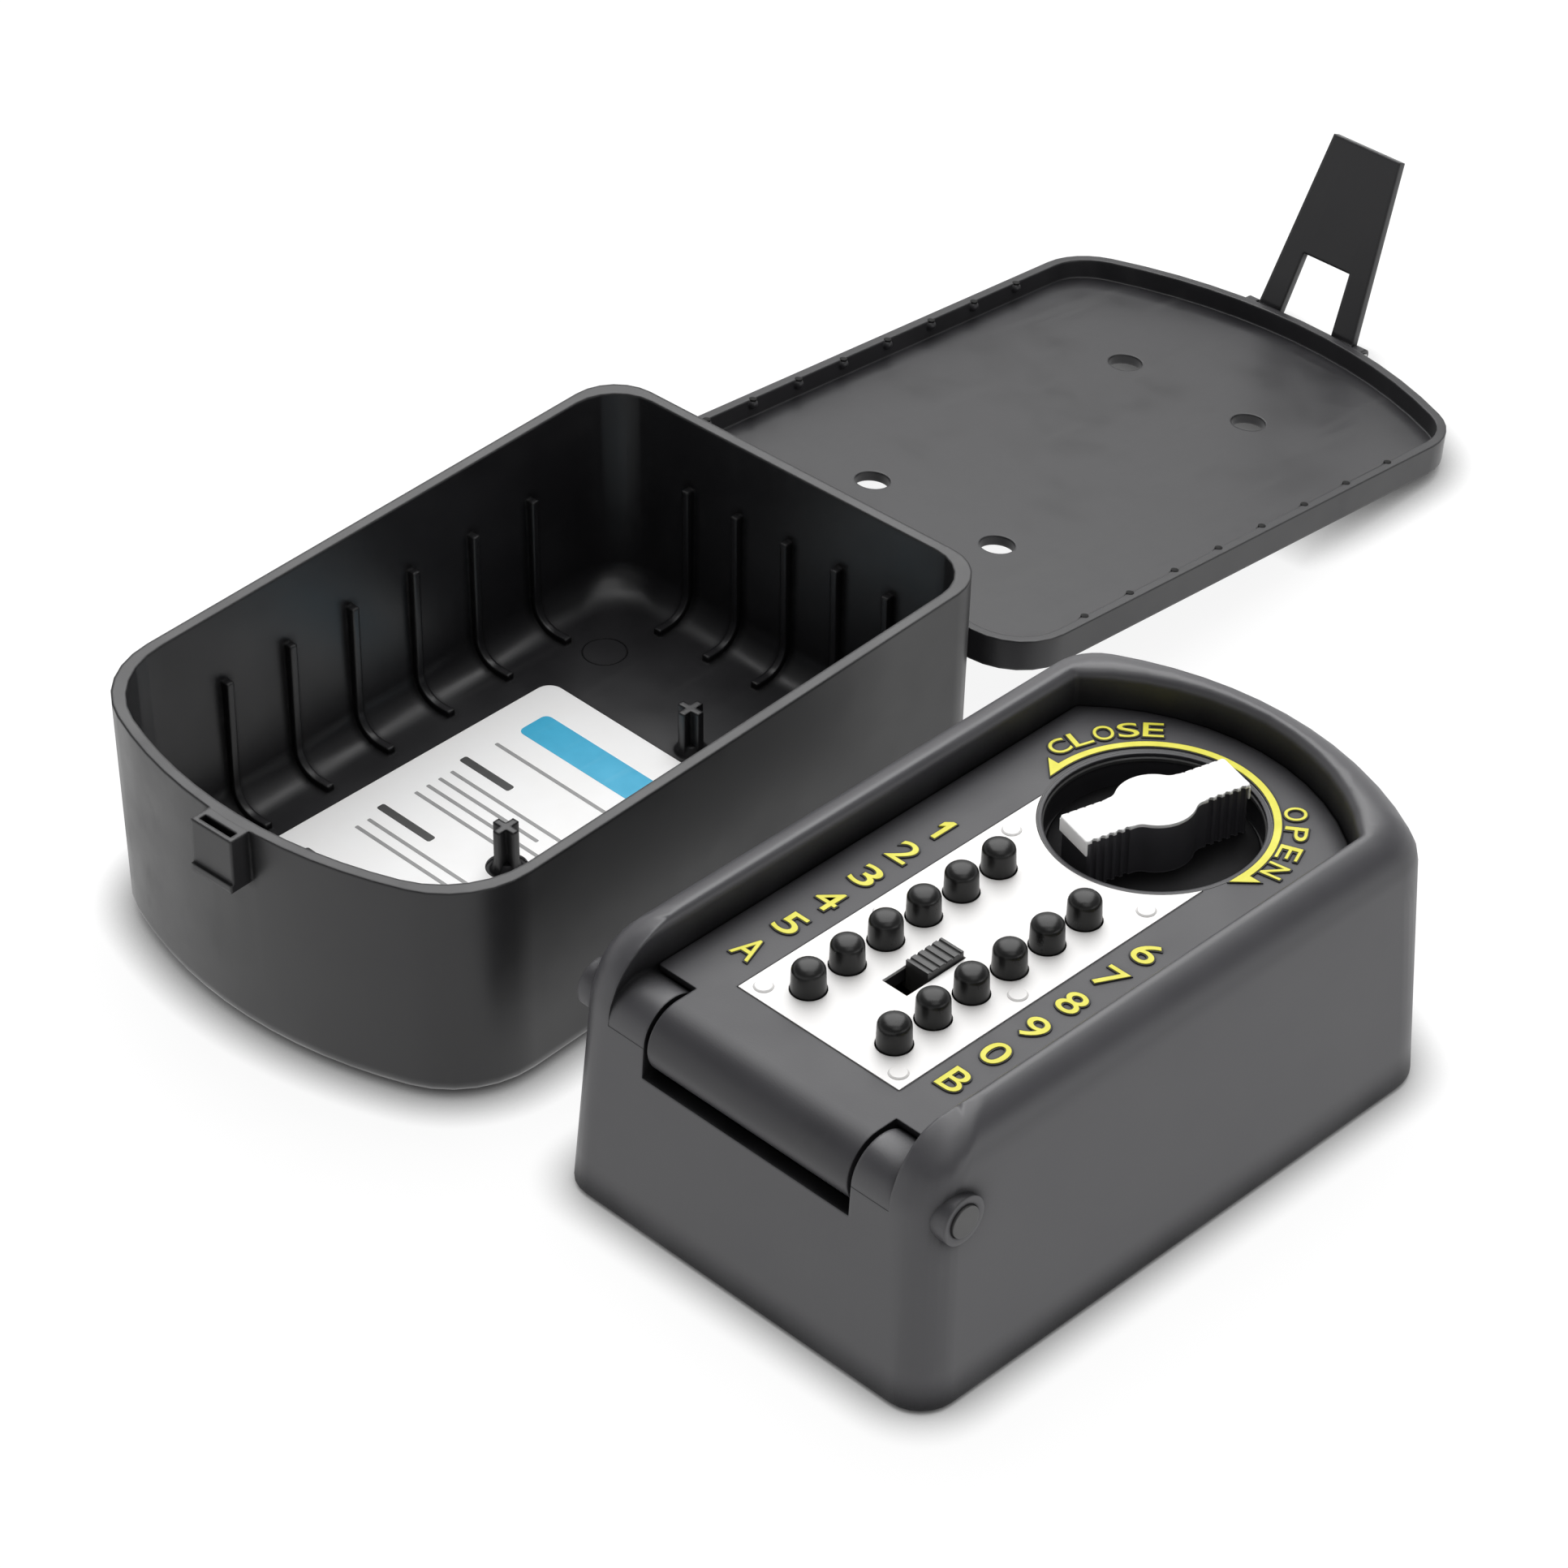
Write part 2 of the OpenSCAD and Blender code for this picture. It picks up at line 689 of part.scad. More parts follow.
module rivet_places() {
    near = pad_y + rivet_near;
    far = pad_far - rivet_far;
    for (x = [-rivet_x, rivet_x], y = [near, (near + far) / 2 - 1.6, far])
        translate([x, y, 0]) children();
}

module keypad_plate() {
    color([0.92, 0.91, 0.88])
    difference() {
        translate([0, 0, pad_z - pad_t]) linear_extrude(pad_t) pad_plan(0);
        button_holes(pad_z - pad_t - 1, pad_t + 2);
        reset_hole(pad_z - pad_t - 1, pad_t + 2);
        rivet_places() translate([0, 0, pad_z - pad_t - 1]) cylinder(r = 0.9, h = pad_t + 2);
    }
}

module keypad_rivets() {
    color([0.9, 0.89, 0.87])
    rivet_places() {
        translate([0, 0, pad_z]) cylinder(r1 = rivet_r, r2 = rivet_r - rivet_h, h = rivet_h);
        translate([0, 0, door_under]) cylinder(r = 0.9 - turn_clear, h = pad_z - door_under);
    }
}

module case_posts() {
    in = case_t + post_r - 0.6;
    for (x = [-1, 1], y = [case_y + in, case_far - in])
        translate([x * (case_hw - in), y, 0]) children();
}

module lock_case() {
    color([0.62, 0.63, 0.65])
    difference() {
        union() {
            difference() {
                block([-case_hw, case_y, case_z], [case_hw, case_far, door_under]);
                block([-case_hw + case_t, case_y + case_t, case_z - 1],
                      [case_hw - case_t, case_far - case_t, door_under + 1]);
            }
            case_posts() translate([0, 0, case_z]) cylinder(r = post_r, h = case_h);
        }
        case_posts() translate([0, 0, case_z - 1]) cylinder(r = screw_r + turn_clear, h = screw_l + 1.5);
        at_knob(well_z - well_t - 0.3) cylinder(r = well_r + well_t + 0.2, h = well_d + well_t, $fn = 72);
        block([rack_x - 1, case_far - case_t - 1, case_z - 1],
              [rack_x + bolt_w + bolt_gap, case_far + 1, bolt_z + bolt_t + bolt_gap]);
    }
}

module lock_cover() {
    color([0.66, 0.67, 0.69])
    difference() {
        union() {
            block([-case_hw, case_y, case_under], [case_hw, case_far, case_z]);
            for (y = [row_y - 1.5, row_far + 0.35 * row_pitch])
                translate([0, y, case_z]) cylinder(r = bar_post_r, h = bar_lift);
        }
        case_posts() translate([0, 0, case_under - 1]) cylinder(r = screw_r + turn_clear, h = cover_t + 2);
        for (side = [-1, 1]) hook_place(side) translate([0, 0, -1])
            cylinder(r = hook_r + turn_clear, h = cover_t + 2);
    }
}

module case_screws() {
    color([0.6, 0.6, 0.62])
    case_posts() translate([0, 0, case_under]) {
        cylinder(r = screw_r, h = screw_l);
        translate([0, 0, -head_h]) cylinder(r1 = head_r - 0.4, r2 = head_r, h = head_h);
    }
}

module spring_mat() {
    near = row_y - 4;
    far = row_far + 4;
    color([0.1, 0.1, 0.1]) {
        for (s = [-1, 1])
            block([s * row_x - 3.8, near, case_z], [s * row_x + 3.8, far, case_z + mat_t]);
        block([-row_x, near + 9, case_z], [row_x, near + 12, case_z + mat_t]);
        button_places() translate([0, 0, case_z + mat_t - eps])
            cylinder(r1 = dome_r, r2 = stem_r - 0.2, h = stem_z - case_z - mat_t - 0.05 + eps);
    }
}

module code_bar() {
    near = row_y - 3.6;
    z = case_z + bar_lift;
    color([0.72, 0.66, 0.45])
    difference() {
        union() {
            block([-bar_hw, near, z], [bar_hw, row_far + 3.6, z + bar_t]);
            block([-3, near + 10, z], [3, knob_c - pitch_r - module_m - 1.2, z + bar_t]);
        }
        button_places() translate([0, 0, z - 1]) cylinder(r = dome_r + gate_gap, h = bar_t + 2);
    }
}

module bolt_guide() {
    x0 = rack_x + bolt_w + bolt_gap;
    far = case_far - case_t;
    over = bolt_z + bolt_t + bolt_gap;
    color([0.66, 0.67, 0.69]) {
        block([x0, far - 20, case_z], [x0 + 2, far, over + guide_t]);
        block([rack_x + 0.6, far - 6, over], [x0 + 2, far, over + guide_t]);
    }
}

module hook_place(side) {
    translate([side * hook_gap / 2, (case_y + case_far) / 2, case_under]) children();
}

module key_hooks() {
    color([0.68, 0.68, 0.7])
    for (side = [-1, 1]) hook_place(side) {
        translate([0, 0, -hook_drop]) cylinder(r = hook_r, h = hook_drop + cover_t);
        translate([0, 0, -0.6]) cylinder(r = hook_r + 1, h = 0.6);
        translate([0, hook_bend, -hook_drop]) rotate([0, 90, 0]) rotate([0, 0, -90])
            rotate_extrude(angle = 180) translate([hook_bend, 0]) circle(r = hook_r, $fn = 20);
        translate([0, 2 * hook_bend, -hook_drop]) cylinder(r = hook_r, h = 2);
        translate([0, 2 * hook_bend, -hook_drop + 2]) sphere(r = hook_r, $fn = 20);
    }
}

// The pieces that move in the door

module grip_plan(gap) {
    square([grip_w - 2 * gap, grip_l - 2 * gap], center = true);
    circle(r = grip_r - gap);
}

module flutes(z, h) {
    for (sx = [-1, 1], sy = [-1, 1], i = [0:4])
        translate([sx * grip_w / 2, sy * (grip_l / 2 - 1.6 - i * flute_pitch), z])
            cylinder(r = flute_r, h = h, $fn = 16);
}

module knob() {
    base_z = well_z + base_gap;
    color([0.05, 0.05, 0.055])
    at_knob(0) rotate([0, 0, -grip_angle])
    difference() {
        union() {
            translate([0, 0, base_z]) cylinder(r = base_r, h = base_t, $fn = 72);
            translate([0, 0, base_z]) linear_extrude(knob_top - cap_t - base_z) grip_plan(0);
        }
        flutes(base_z + base_t, knob_top);
        translate([0, 0, base_z - 1]) cylinder(r = spindle_r + turn_clear, h = spindle_in + 1.1);
        for (s = [-1, 1])
            translate([0, s * grip_l / 2, knob_top - tab_h / 2])
                cube([grip_w + 1, 2 * tab_t, tab_h], center = true);
    }
}

module knob_cap() {
    color([0.95, 0.95, 0.95])
    at_knob(knob_top - cap_t) rotate([0, 0, -grip_angle])
    difference() {
        union() {
            linear_extrude(cap_t) grip_plan(0);
            for (s = [-1, 1])
                translate([0, s * (grip_l - tab_t) / 2, (cap_t - tab_h) / 2 + cap_t / 2])
                    cube([grip_w, tab_t, tab_h], center = true);
        }
        flutes(-1, cap_t + 2);
    }
}

module spindle() {
    color([0.68, 0.68, 0.7])
    at_knob(spindle_z) cylinder(r = spindle_r, h = well_z + base_gap + spindle_in - spindle_z);
}

// Points of one pinion tooth about an angle
function tooth(a) =
    [for (p = [[-1.25, -0.38], [0, -0.21], [1, -0.08], [1, 0.08], [0, 0.21], [-1.25, 0.38]])
        let (r = pitch_r + p[0] * module_m, b = a + p[1] * 360 / teeth)
        [r * cos(b), r * sin(b)]];

module pinion() {
    color([0.75, 0.68, 0.42])
    at_knob(bolt_z - 0.1) linear_extrude(bolt_t + 0.2)
        difference() {
            polygon([for (i = [0:teeth - 1]) each tooth(i * 360 / teeth)]);
            circle(r = spindle_r + turn_clear);
        }
}

module spindle_clip() {
    color([0.6, 0.6, 0.62])
    at_knob(well_z - well_t - base_gap - 0.8) difference() {
        cylinder(r = spindle_r + 2, h = 0.8);
        translate([0, 0, -1]) cylinder(r = spindle_r + turn_clear, h = 3);
    }
}

// Points of one rack tooth about a place along the bolt, from its far side to its near side
function rack_tooth(y) =
    let (root = 1.25 * module_m,
         tip = 0.8 * module_m,
         half = 0.21 * rack_pitch,
         slope = tan(20))
    [[rack_x, y + half + root * slope],
     [rack_x - root, y + half],
     [rack_x - root - tip, y + half - tip * slope],
     [rack_x - root - tip, y - half + tip * slope],
     [rack_x - root, y - half],
     [rack_x, y - half - root * slope]];

module bolt() {
    near = knob_c - bolt_back;
    far = recess_far - bolt_end;
    color([0.72, 0.72, 0.74])
    translate([0, 0, bolt_z]) linear_extrude(bolt_t)
        polygon(concat([[rack_x, near], [rack_x + bolt_w, near], [rack_x + bolt_w, far], [rack_x, far]],
                       [for (i = [2:-1:-3]) each rack_tooth(knob_c + (i + 0.5) * rack_pitch)]));
}

module reset_slider() {
    x = reset_w / 2 - block_gap;
    y0 = reset_y + reset_l - block_gap - block_l;
    z1 = pad_z + block_h;
    step = block_l / ridges;
    color([0.06, 0.06, 0.065])
    difference() {
        union() {
            block([-x, y0, collar_top - 1], [x, y0 + block_l, z1]);
            block([-x - 1.2, y0 + 0.4, collar_top - collar_t], [x + 1.2, y0 + block_l - 0.4, collar_top]);
            block([-1.5, y0 + 2, case_z + bar_lift + bar_t + 0.4], [1.5, y0 + block_l - 2, collar_top]);
        }
        for (i = [0:ridges - 1])
            translate([-x - 1, y0 + (i + 0.5) * step, z1]) rotate([0, 90, 0])
                cylinder(r = step * 0.2, h = 2 * x + 2, $fn = 16);
    }
}

module button(side, i) {
    dome_z = pad_z + button_h - dome_h;
    dome_bow = (button_r * button_r + dome_h * dome_h) / (2 * dome_h);
    color([0.05, 0.05, 0.055])
    translate([side * row_x, row_y + i * row_pitch, 0]) {
        translate([0, 0, collar_top - eps]) cylinder(r = button_r, h = dome_z - collar_top + eps);
        translate([0, 0, dome_z]) intersection() {
            cylinder(r = button_r, h = 2 * dome_h);
            translate([0, 0, dome_h - dome_bow]) sphere(r = dome_bow);
        }
        translate([0, 0, collar_top - collar_t]) cylinder(r = collar_r, h = collar_t);
        translate([0, 0, stem_z]) cylinder(r = stem_r, h = collar_top - stem_z);
    }
}

// The weather cover

module on_cover() {
    translate([cover_x, cover_y, 0]) rotate([0, 0, cover_turn]) children();
}

// Turned so that the bowed end of a plan points to -Y
module bow_back() {
    rotate([0, 0, 180]) children();
}

module tub_level(z, draw_in) {
    d = (tub_h - z) * tan(tub_draft) + draw_in;
    translate([0, 0, z]) linear_extrude(eps)
        polygon(bowed(tub_hw - d, d, tub_l - d, tub_bow - d, tub_near_r, tub_far_r));
}

module tub_solid(floor_z, inset, edge, top) {
    bow_back() hull() {
        for (a = [0:18:90])
            tub_level(floor_z + edge * (1 - sin(a)), inset + edge * (1 - cos(a)));
        tub_level(top, inset);
    }
}

// Section of a rib from a wall face down to the floor, the wall at x = 0
module rib_plan(top) {
    r = tub_fillet - rib_out;
    polygon(concat([[-1, top], [rib_out, top]],
                   [for (i = [0:6]) let (b = 180 + 15 * i)
                        [rib_out + r + r * cos(b), tub_floor + rib_out + r + r * sin(b)]],
                   [[tub_fillet + rib_foot, tub_floor + rib_out], [tub_fillet + rib_foot, tub_floor - 1],
                    [-1, tub_floor - 1]]));
}

module rib(top) {
    translate([0, rib_t / 2, 0]) rotate([90, 0, 0]) linear_extrude(rib_t) rib_plan(top);
}

module floor_post(y) {
    translate([post_x, -y, tub_floor - 0.5]) {
        for (a = [0, 90]) rotate([0, 0, a])
            block([-post_w / 2, -0.7, 0], [post_w / 2, 0.7, post_h + 0.5]);
        cylinder(r1 = post_w / 2 + 0.9, r2 = post_w / 2 - 0.6, h = 2.5, $fn = 24);
    }
}

module catch_block() {
    translate([0, -tub_l, tub_h]) difference() {
        union() {
            block([-catch_hw, -catch_out, -catch_h], [catch_hw, tub_wall * 0.6, -eps]);
            block([-catch_hw, -catch_out - 0.5, -catch_h], [catch_hw, 0, -catch_h + 1.6]);
        }
        block([-catch_hw + 1, -catch_out + 1, -catch_h + 2], [catch_hw - 1, -catch_out + 2.4, 1]);
    }
}

module tub_lugs() {
    inner = arm_x - arm_w / 2 - lug_gap;
    outer = arm_x + arm_w / 2 + lug_gap;
    for (s = [0, 1], x = [inner - lug_w, outer]) mirror([s, 0, 0]) {
        translate([0, pivot_y, pivot_z]) x_rod(x, x + lug_w, knuckle_r);
        block([x, -tub_wall * 0.6, pivot_z - knuckle_r], [x + lug_w, pivot_y, pivot_z + knuckle_r]);
    }
}

module cover_shell() {
    inner_x = tub_hw - tub_wall - (tub_h - tub_floor) * tan(tub_draft);
    color([0.13, 0.13, 0.135])
    on_cover() difference() {
        union() {
            difference() {
                tub_solid(0, 0, tub_edge, tub_z1);
                tub_solid(tub_floor, tub_wall, tub_fillet, tub_h + 1);
            }
            for (i = [0:side_ribs - 1], s = [0, 1])
                mirror([s, 0, 0]) translate([-inner_x, -side_rib_first - i * side_rib_pitch, 0])
                    rib(tub_h - rib_top);
            for (i = [0:end_ribs - 1])
                translate([(i - (end_ribs - 1) / 2) * end_rib_pitch, -tub_wall - 0.75, 0])
                    rotate([0, 0, -90]) rib(tub_h - rib_top);
            floor_post(post_first);
            floor_post(post_second);
            catch_block();
            tub_lugs();
        }
        translate([0, pivot_y, pivot_z]) x_rod(-tub_hw, tub_hw, cover_pin_r + turn_clear);
    }
}

module cover_hinge_pin() {
    reach = arm_x + arm_w / 2 + lug_gap + lug_w;
    color([0.5, 0.5, 0.52])
    on_cover() translate([0, pivot_y, pivot_z]) x_rod(-reach - 0.5, reach + 0.5, cover_pin_r);
}

module instruction_card() {
    color([0.95, 0.95, 0.95])
    on_cover() difference() {
        translate([card_x, -card_y, tub_floor]) rotate([0, 0, -card_turn]) {
            block([card_r, -card_l, 0], [card_w - card_r, 0, card_t]);
            block([0, card_r - card_l, 0], [card_w, -card_r, card_t]);
            for (x = [card_r, card_w - card_r], y = [-card_r, card_r - card_l])
                translate([x, y, 0]) cylinder(r = card_r, h = card_t);
        }
        translate([post_x, -post_second, 0]) cylinder(r = post_w / 2 + 1.4, h = tub_floor + card_t + 1);
    }
}

module on_plate() {
    on_cover() translate([0, plate_gap, plate_z]) rotate([-plate_tilt, 0, 0]) children();
}

module plate_plan(inset) {
    polygon(bowed(plate_hw - inset, inset, plate_l - inset, plate_bow - inset,
                  plate_near_r - inset, plate_far_r - inset));
}

module plate_arm(x) {
    difference() {
        union() {
            translate([x - arm_w / 2, arm_y, arm_z]) rotate([0, 90, 0]) cylinder(r = knuckle_r, h = arm_w);
            block([x - arm_w / 2, arm_y - 2, lip_h - 3], [x + arm_w / 2, arm_y + knuckle_r, arm_z]);
            block([x - arm_w / 2, arm_y - 2, 0], [x + arm_w / 2, lip_t, lip_h - 2]);
        }
        translate([x - arm_w, arm_y, arm_z]) rotate([0, 90, 0])
            cylinder(r = cover_pin_r + turn_clear, h = 2 * arm_w);
    }
}

module strap_lug_place(s) {
    x = s * (strap_root / 2 + lug_gap + strap_lug / 2);
    translate([x, 0, 0]) children();
}

module cover_plate() {
    color([0.13, 0.13, 0.135])
    on_plate() difference() {
        union() {
            linear_extrude(plate_t) plate_plan(0);
            linear_extrude(lip_h) difference() {
                plate_plan(0);
                plate_plan(lip_t);
            }
            for (s = [-1, 1], i = [0:pips - 1])
                translate([s * (plate_hw - lip_t), pip_first + i * pip_pitch, lip_h - pip_r])
                    sphere(r = pip_r, $fn = 16);
            for (s = [-1, 1]) {
                plate_arm(s * arm_x);
                strap_lug_place(s) block([-strap_lug / 2, plate_l - 2.6, strap_pivot_z - strap_knuckle_r],
                                         [strap_lug / 2, strap_pivot_y, strap_pivot_z + strap_knuckle_r]);
                strap_lug_place(s) translate([0, strap_pivot_y, strap_pivot_z])
                    x_rod(-strap_lug / 2, strap_lug / 2, strap_knuckle_r);
            }
        }
        for (x = [-1, 1], y = [plate_hole_y, plate_hole_y + fix_y])
            translate([x * fix_x / 2, y, -1]) cylinder(r = plate_hole_r, h = plate_t + 2);
        translate([0, strap_pivot_y, strap_pivot_z]) x_rod(-plate_hw, plate_hw, strap_pin_r + turn_clear);
    }
}

module strap_pin() {
    reach = strap_root / 2 + lug_gap + strap_lug + 0.3;
    color([0.5, 0.5, 0.52])
    on_plate() translate([0, strap_pivot_y, strap_pivot_z]) x_rod(-reach, reach, strap_pin_r);
}

// The strap, drawn standing square to the plate and then leaned out
module cover_strap() {
    color([0.12, 0.12, 0.125])
    on_plate() translate([0, strap_pivot_y, strap_pivot_z]) rotate([-strap_lean, 0, 0])
    difference() {
        union() {
            translate([0, strap_t / 2, 0]) rotate([90, 0, 0]) linear_extrude(strap_t)
                difference() {
                    polygon([[-strap_root / 2, 0], [strap_root / 2, 0], [strap_tip / 2, strap_l],
                             [-strap_tip / 2, strap_l]]);
                    polygon([[-window_root / 2, -3], [window_root / 2, -3], [window_tip / 2, window_l],
                             [-window_tip / 2, window_l]]);
                }
            for (s = [0, 1]) mirror([s, 0, 0])
                x_rod(window_root / 2 + 0.3, strap_root / 2, strap_knuckle_r);
        }
        x_rod(-strap_root, strap_root, strap_pin_r + turn_clear);
    }
}

housing();
hinge_pin();
door_seal();
strike();
strike_screws();
door();
keypad_plate();
keypad_rivets();
lock_case();
lock_cover();
case_screws();
spring_mat();
code_bar();
bolt_guide();
key_hooks();
knob();
knob_cap();
spindle();
pinion();
spindle_clip();
bolt();
reset_slider();
button(-1, 5);  // button_1
button(-1, 4);  // button_2
button(-1, 3);  // button_3
button(-1, 2);  // button_4
button(-1, 1);  // button_5
button(-1, 0);  // button_a
button(1, 5);  // button_6
button(1, 4);  // button_7
button(1, 3);  // button_8
button(1, 2);  // button_9
button(1, 1);  // button_0
button(1, 0);  // button_b
cover_shell();
cover_hinge_pin();
instruction_card();
cover_plate();
strap_pin();
cover_strap();
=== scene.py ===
"""The looks of an outdoor key safe and its open weather cover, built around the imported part."""

import logging
import math
from dataclasses import dataclass, field
from enum import Enum

import bmesh
import bpy
from mathutils import Matrix, Vector


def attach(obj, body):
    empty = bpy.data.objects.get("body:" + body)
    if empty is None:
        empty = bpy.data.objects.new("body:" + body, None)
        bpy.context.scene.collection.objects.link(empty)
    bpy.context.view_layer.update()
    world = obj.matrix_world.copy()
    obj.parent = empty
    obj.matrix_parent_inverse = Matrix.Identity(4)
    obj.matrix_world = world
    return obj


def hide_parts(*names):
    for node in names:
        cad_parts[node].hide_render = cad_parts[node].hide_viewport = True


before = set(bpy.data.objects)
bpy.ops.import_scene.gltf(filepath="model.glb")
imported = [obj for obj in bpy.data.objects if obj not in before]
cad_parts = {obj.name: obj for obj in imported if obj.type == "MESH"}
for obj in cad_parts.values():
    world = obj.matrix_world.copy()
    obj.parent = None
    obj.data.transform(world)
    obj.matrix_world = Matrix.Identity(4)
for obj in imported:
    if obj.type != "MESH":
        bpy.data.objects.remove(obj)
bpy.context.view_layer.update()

LOG = logging.getLogger("key_safe")
MM = 0.001
WELD = 0.001 * MM
NODE_WELD = 0.002 * MM
CRISP_EDGE = math.radians(35)
NODE_CRISP_EDGE = math.radians(32)
RUB_DULLS = 0.35
# Rougher and less reflective where painted shade with a dirty tint lies in each crease.
SHADE_AND_DIRT_DULLS = 0.3
PAINTED_SHADE_DEADENS = 0.9
Colour = tuple[float, float, float, float]
Point = tuple[float, float]
Box = tuple[float, float, float, float]


class SocketKind(Enum):
    """Kinds of socket on a shader node group."""

    VALUE = "NodeSocketFloat"
    VECTOR = "NodeSocketVector"


class Tree:
    """Short ways to add and join nodes in one node tree."""

    def __init__(self, tree: bpy.types.NodeTree) -> None:
        """Holds the tree that the nodes go into."""
        self.tree = tree

    def feed(self, socket: bpy.types.NodeSocket, value: object) -> None:
        """Links another node's socket to a socket, or sets a plain value on it.

        Args:
            socket: the input that is fed.
            value: an output socket, or a number, colour or text.
        """
        if isinstance(value, bpy.types.NodeSocket):
            self.tree.links.new(value, socket)
        else:
            socket.default_value = value

    def node(self, kind: str, settings: dict[str, object] | None = None,
             **inputs: object) -> bpy.types.Node:
        """Adds one node.

        Args:
            kind: Blender's name of the node type.
            settings: properties of the node.
            **inputs: what feeds the inputs, with an underscore for each space in a socket's name.

        Returns:
            The new node.
        """
        made = self.tree.nodes.new(kind)
        for key, value in (settings or {}).items():
            setattr(made, key, value)
        for key, value in inputs.items():
            self.feed(made.inputs[key.replace("_", " ")], value)
        return made

    def math(self, operation: str, first: object, second: object,
             clamp: bool = False) -> bpy.types.NodeSocket:
        """Adds a sum of two values.

        Args:
            operation: Blender's name of the operation.
            first: the first value or socket.
            second: the second value or socket.
            clamp: whether the result is kept between 0 and 1.

        Returns:
            The result's socket.
        """
        made = self.node("ShaderNodeMath", {"operation": operation, "use_clamp": clamp})
        self.feed(made.inputs[0], first)
        self.feed(made.inputs[1], second)
        return made.outputs[0]

    def mix(self, share: object, first: object, second: object) -> bpy.types.NodeSocket:
        """Adds a mix of two colours.

        Args:
            share: how much of the second colour shows.
            first: the colour at a share of 0.
            second: the colour at a share of 1.

        Returns:
            The mixed colour's socket.
        """
        made = self.node("ShaderNodeMix", {"data_type": "RGBA"})
        self.feed(made.inputs[0], share)
        self.feed(made.inputs[6], first)
        self.feed(made.inputs[7], second)
        return made.outputs[2]

    def spread(self, value: object, source: Point, target: Point) -> bpy.types.NodeSocket:
        """Adds a change of range, held at both ends.

        Args:
            value: the value or socket that is changed.
            source: the two ends of its range.
            target: what those ends become.

        Returns:
            The result's socket.
        """
        made = self.node("ShaderNodeMapRange", From_Min=source[0], From_Max=source[1])
        self.feed(made.inputs["Value"], value)
        self.feed(made.inputs["To Min"], target[0])
        self.feed(made.inputs["To Max"], target[1])
        return made.outputs["Result"]

    def noise(self, place: object, size: object, detail: float,
              roughness: float = 0.5) -> bpy.types.NodeSocket:
        """Adds soft noise of a given size.

        Args:
            place: the coordinates' socket.
            size: the size of its larger spots.
            detail: how many finer layers it has.
            roughness: how strong those layers are.

        Returns:
            The noise's value.
        """
        made = self.node("ShaderNodeTexNoise", Vector=place, Detail=detail, Roughness=roughness,
                         Scale=self.math("DIVIDE", 1.0, size))
        return made.outputs[0]


def empty_material(name: str) -> tuple[bpy.types.Material, Tree, bpy.types.Node]:
    """Makes a material that holds only its output node.

    Args:
        name: the material's name.

    Returns:
        The material, its tree and its output node.
    """
    made = bpy.data.materials.new(name)
    made.use_nodes = True
    made.node_tree.nodes.clear()
    tree = Tree(made.node_tree)
    return made, tree, tree.node("ShaderNodeOutputMaterial")


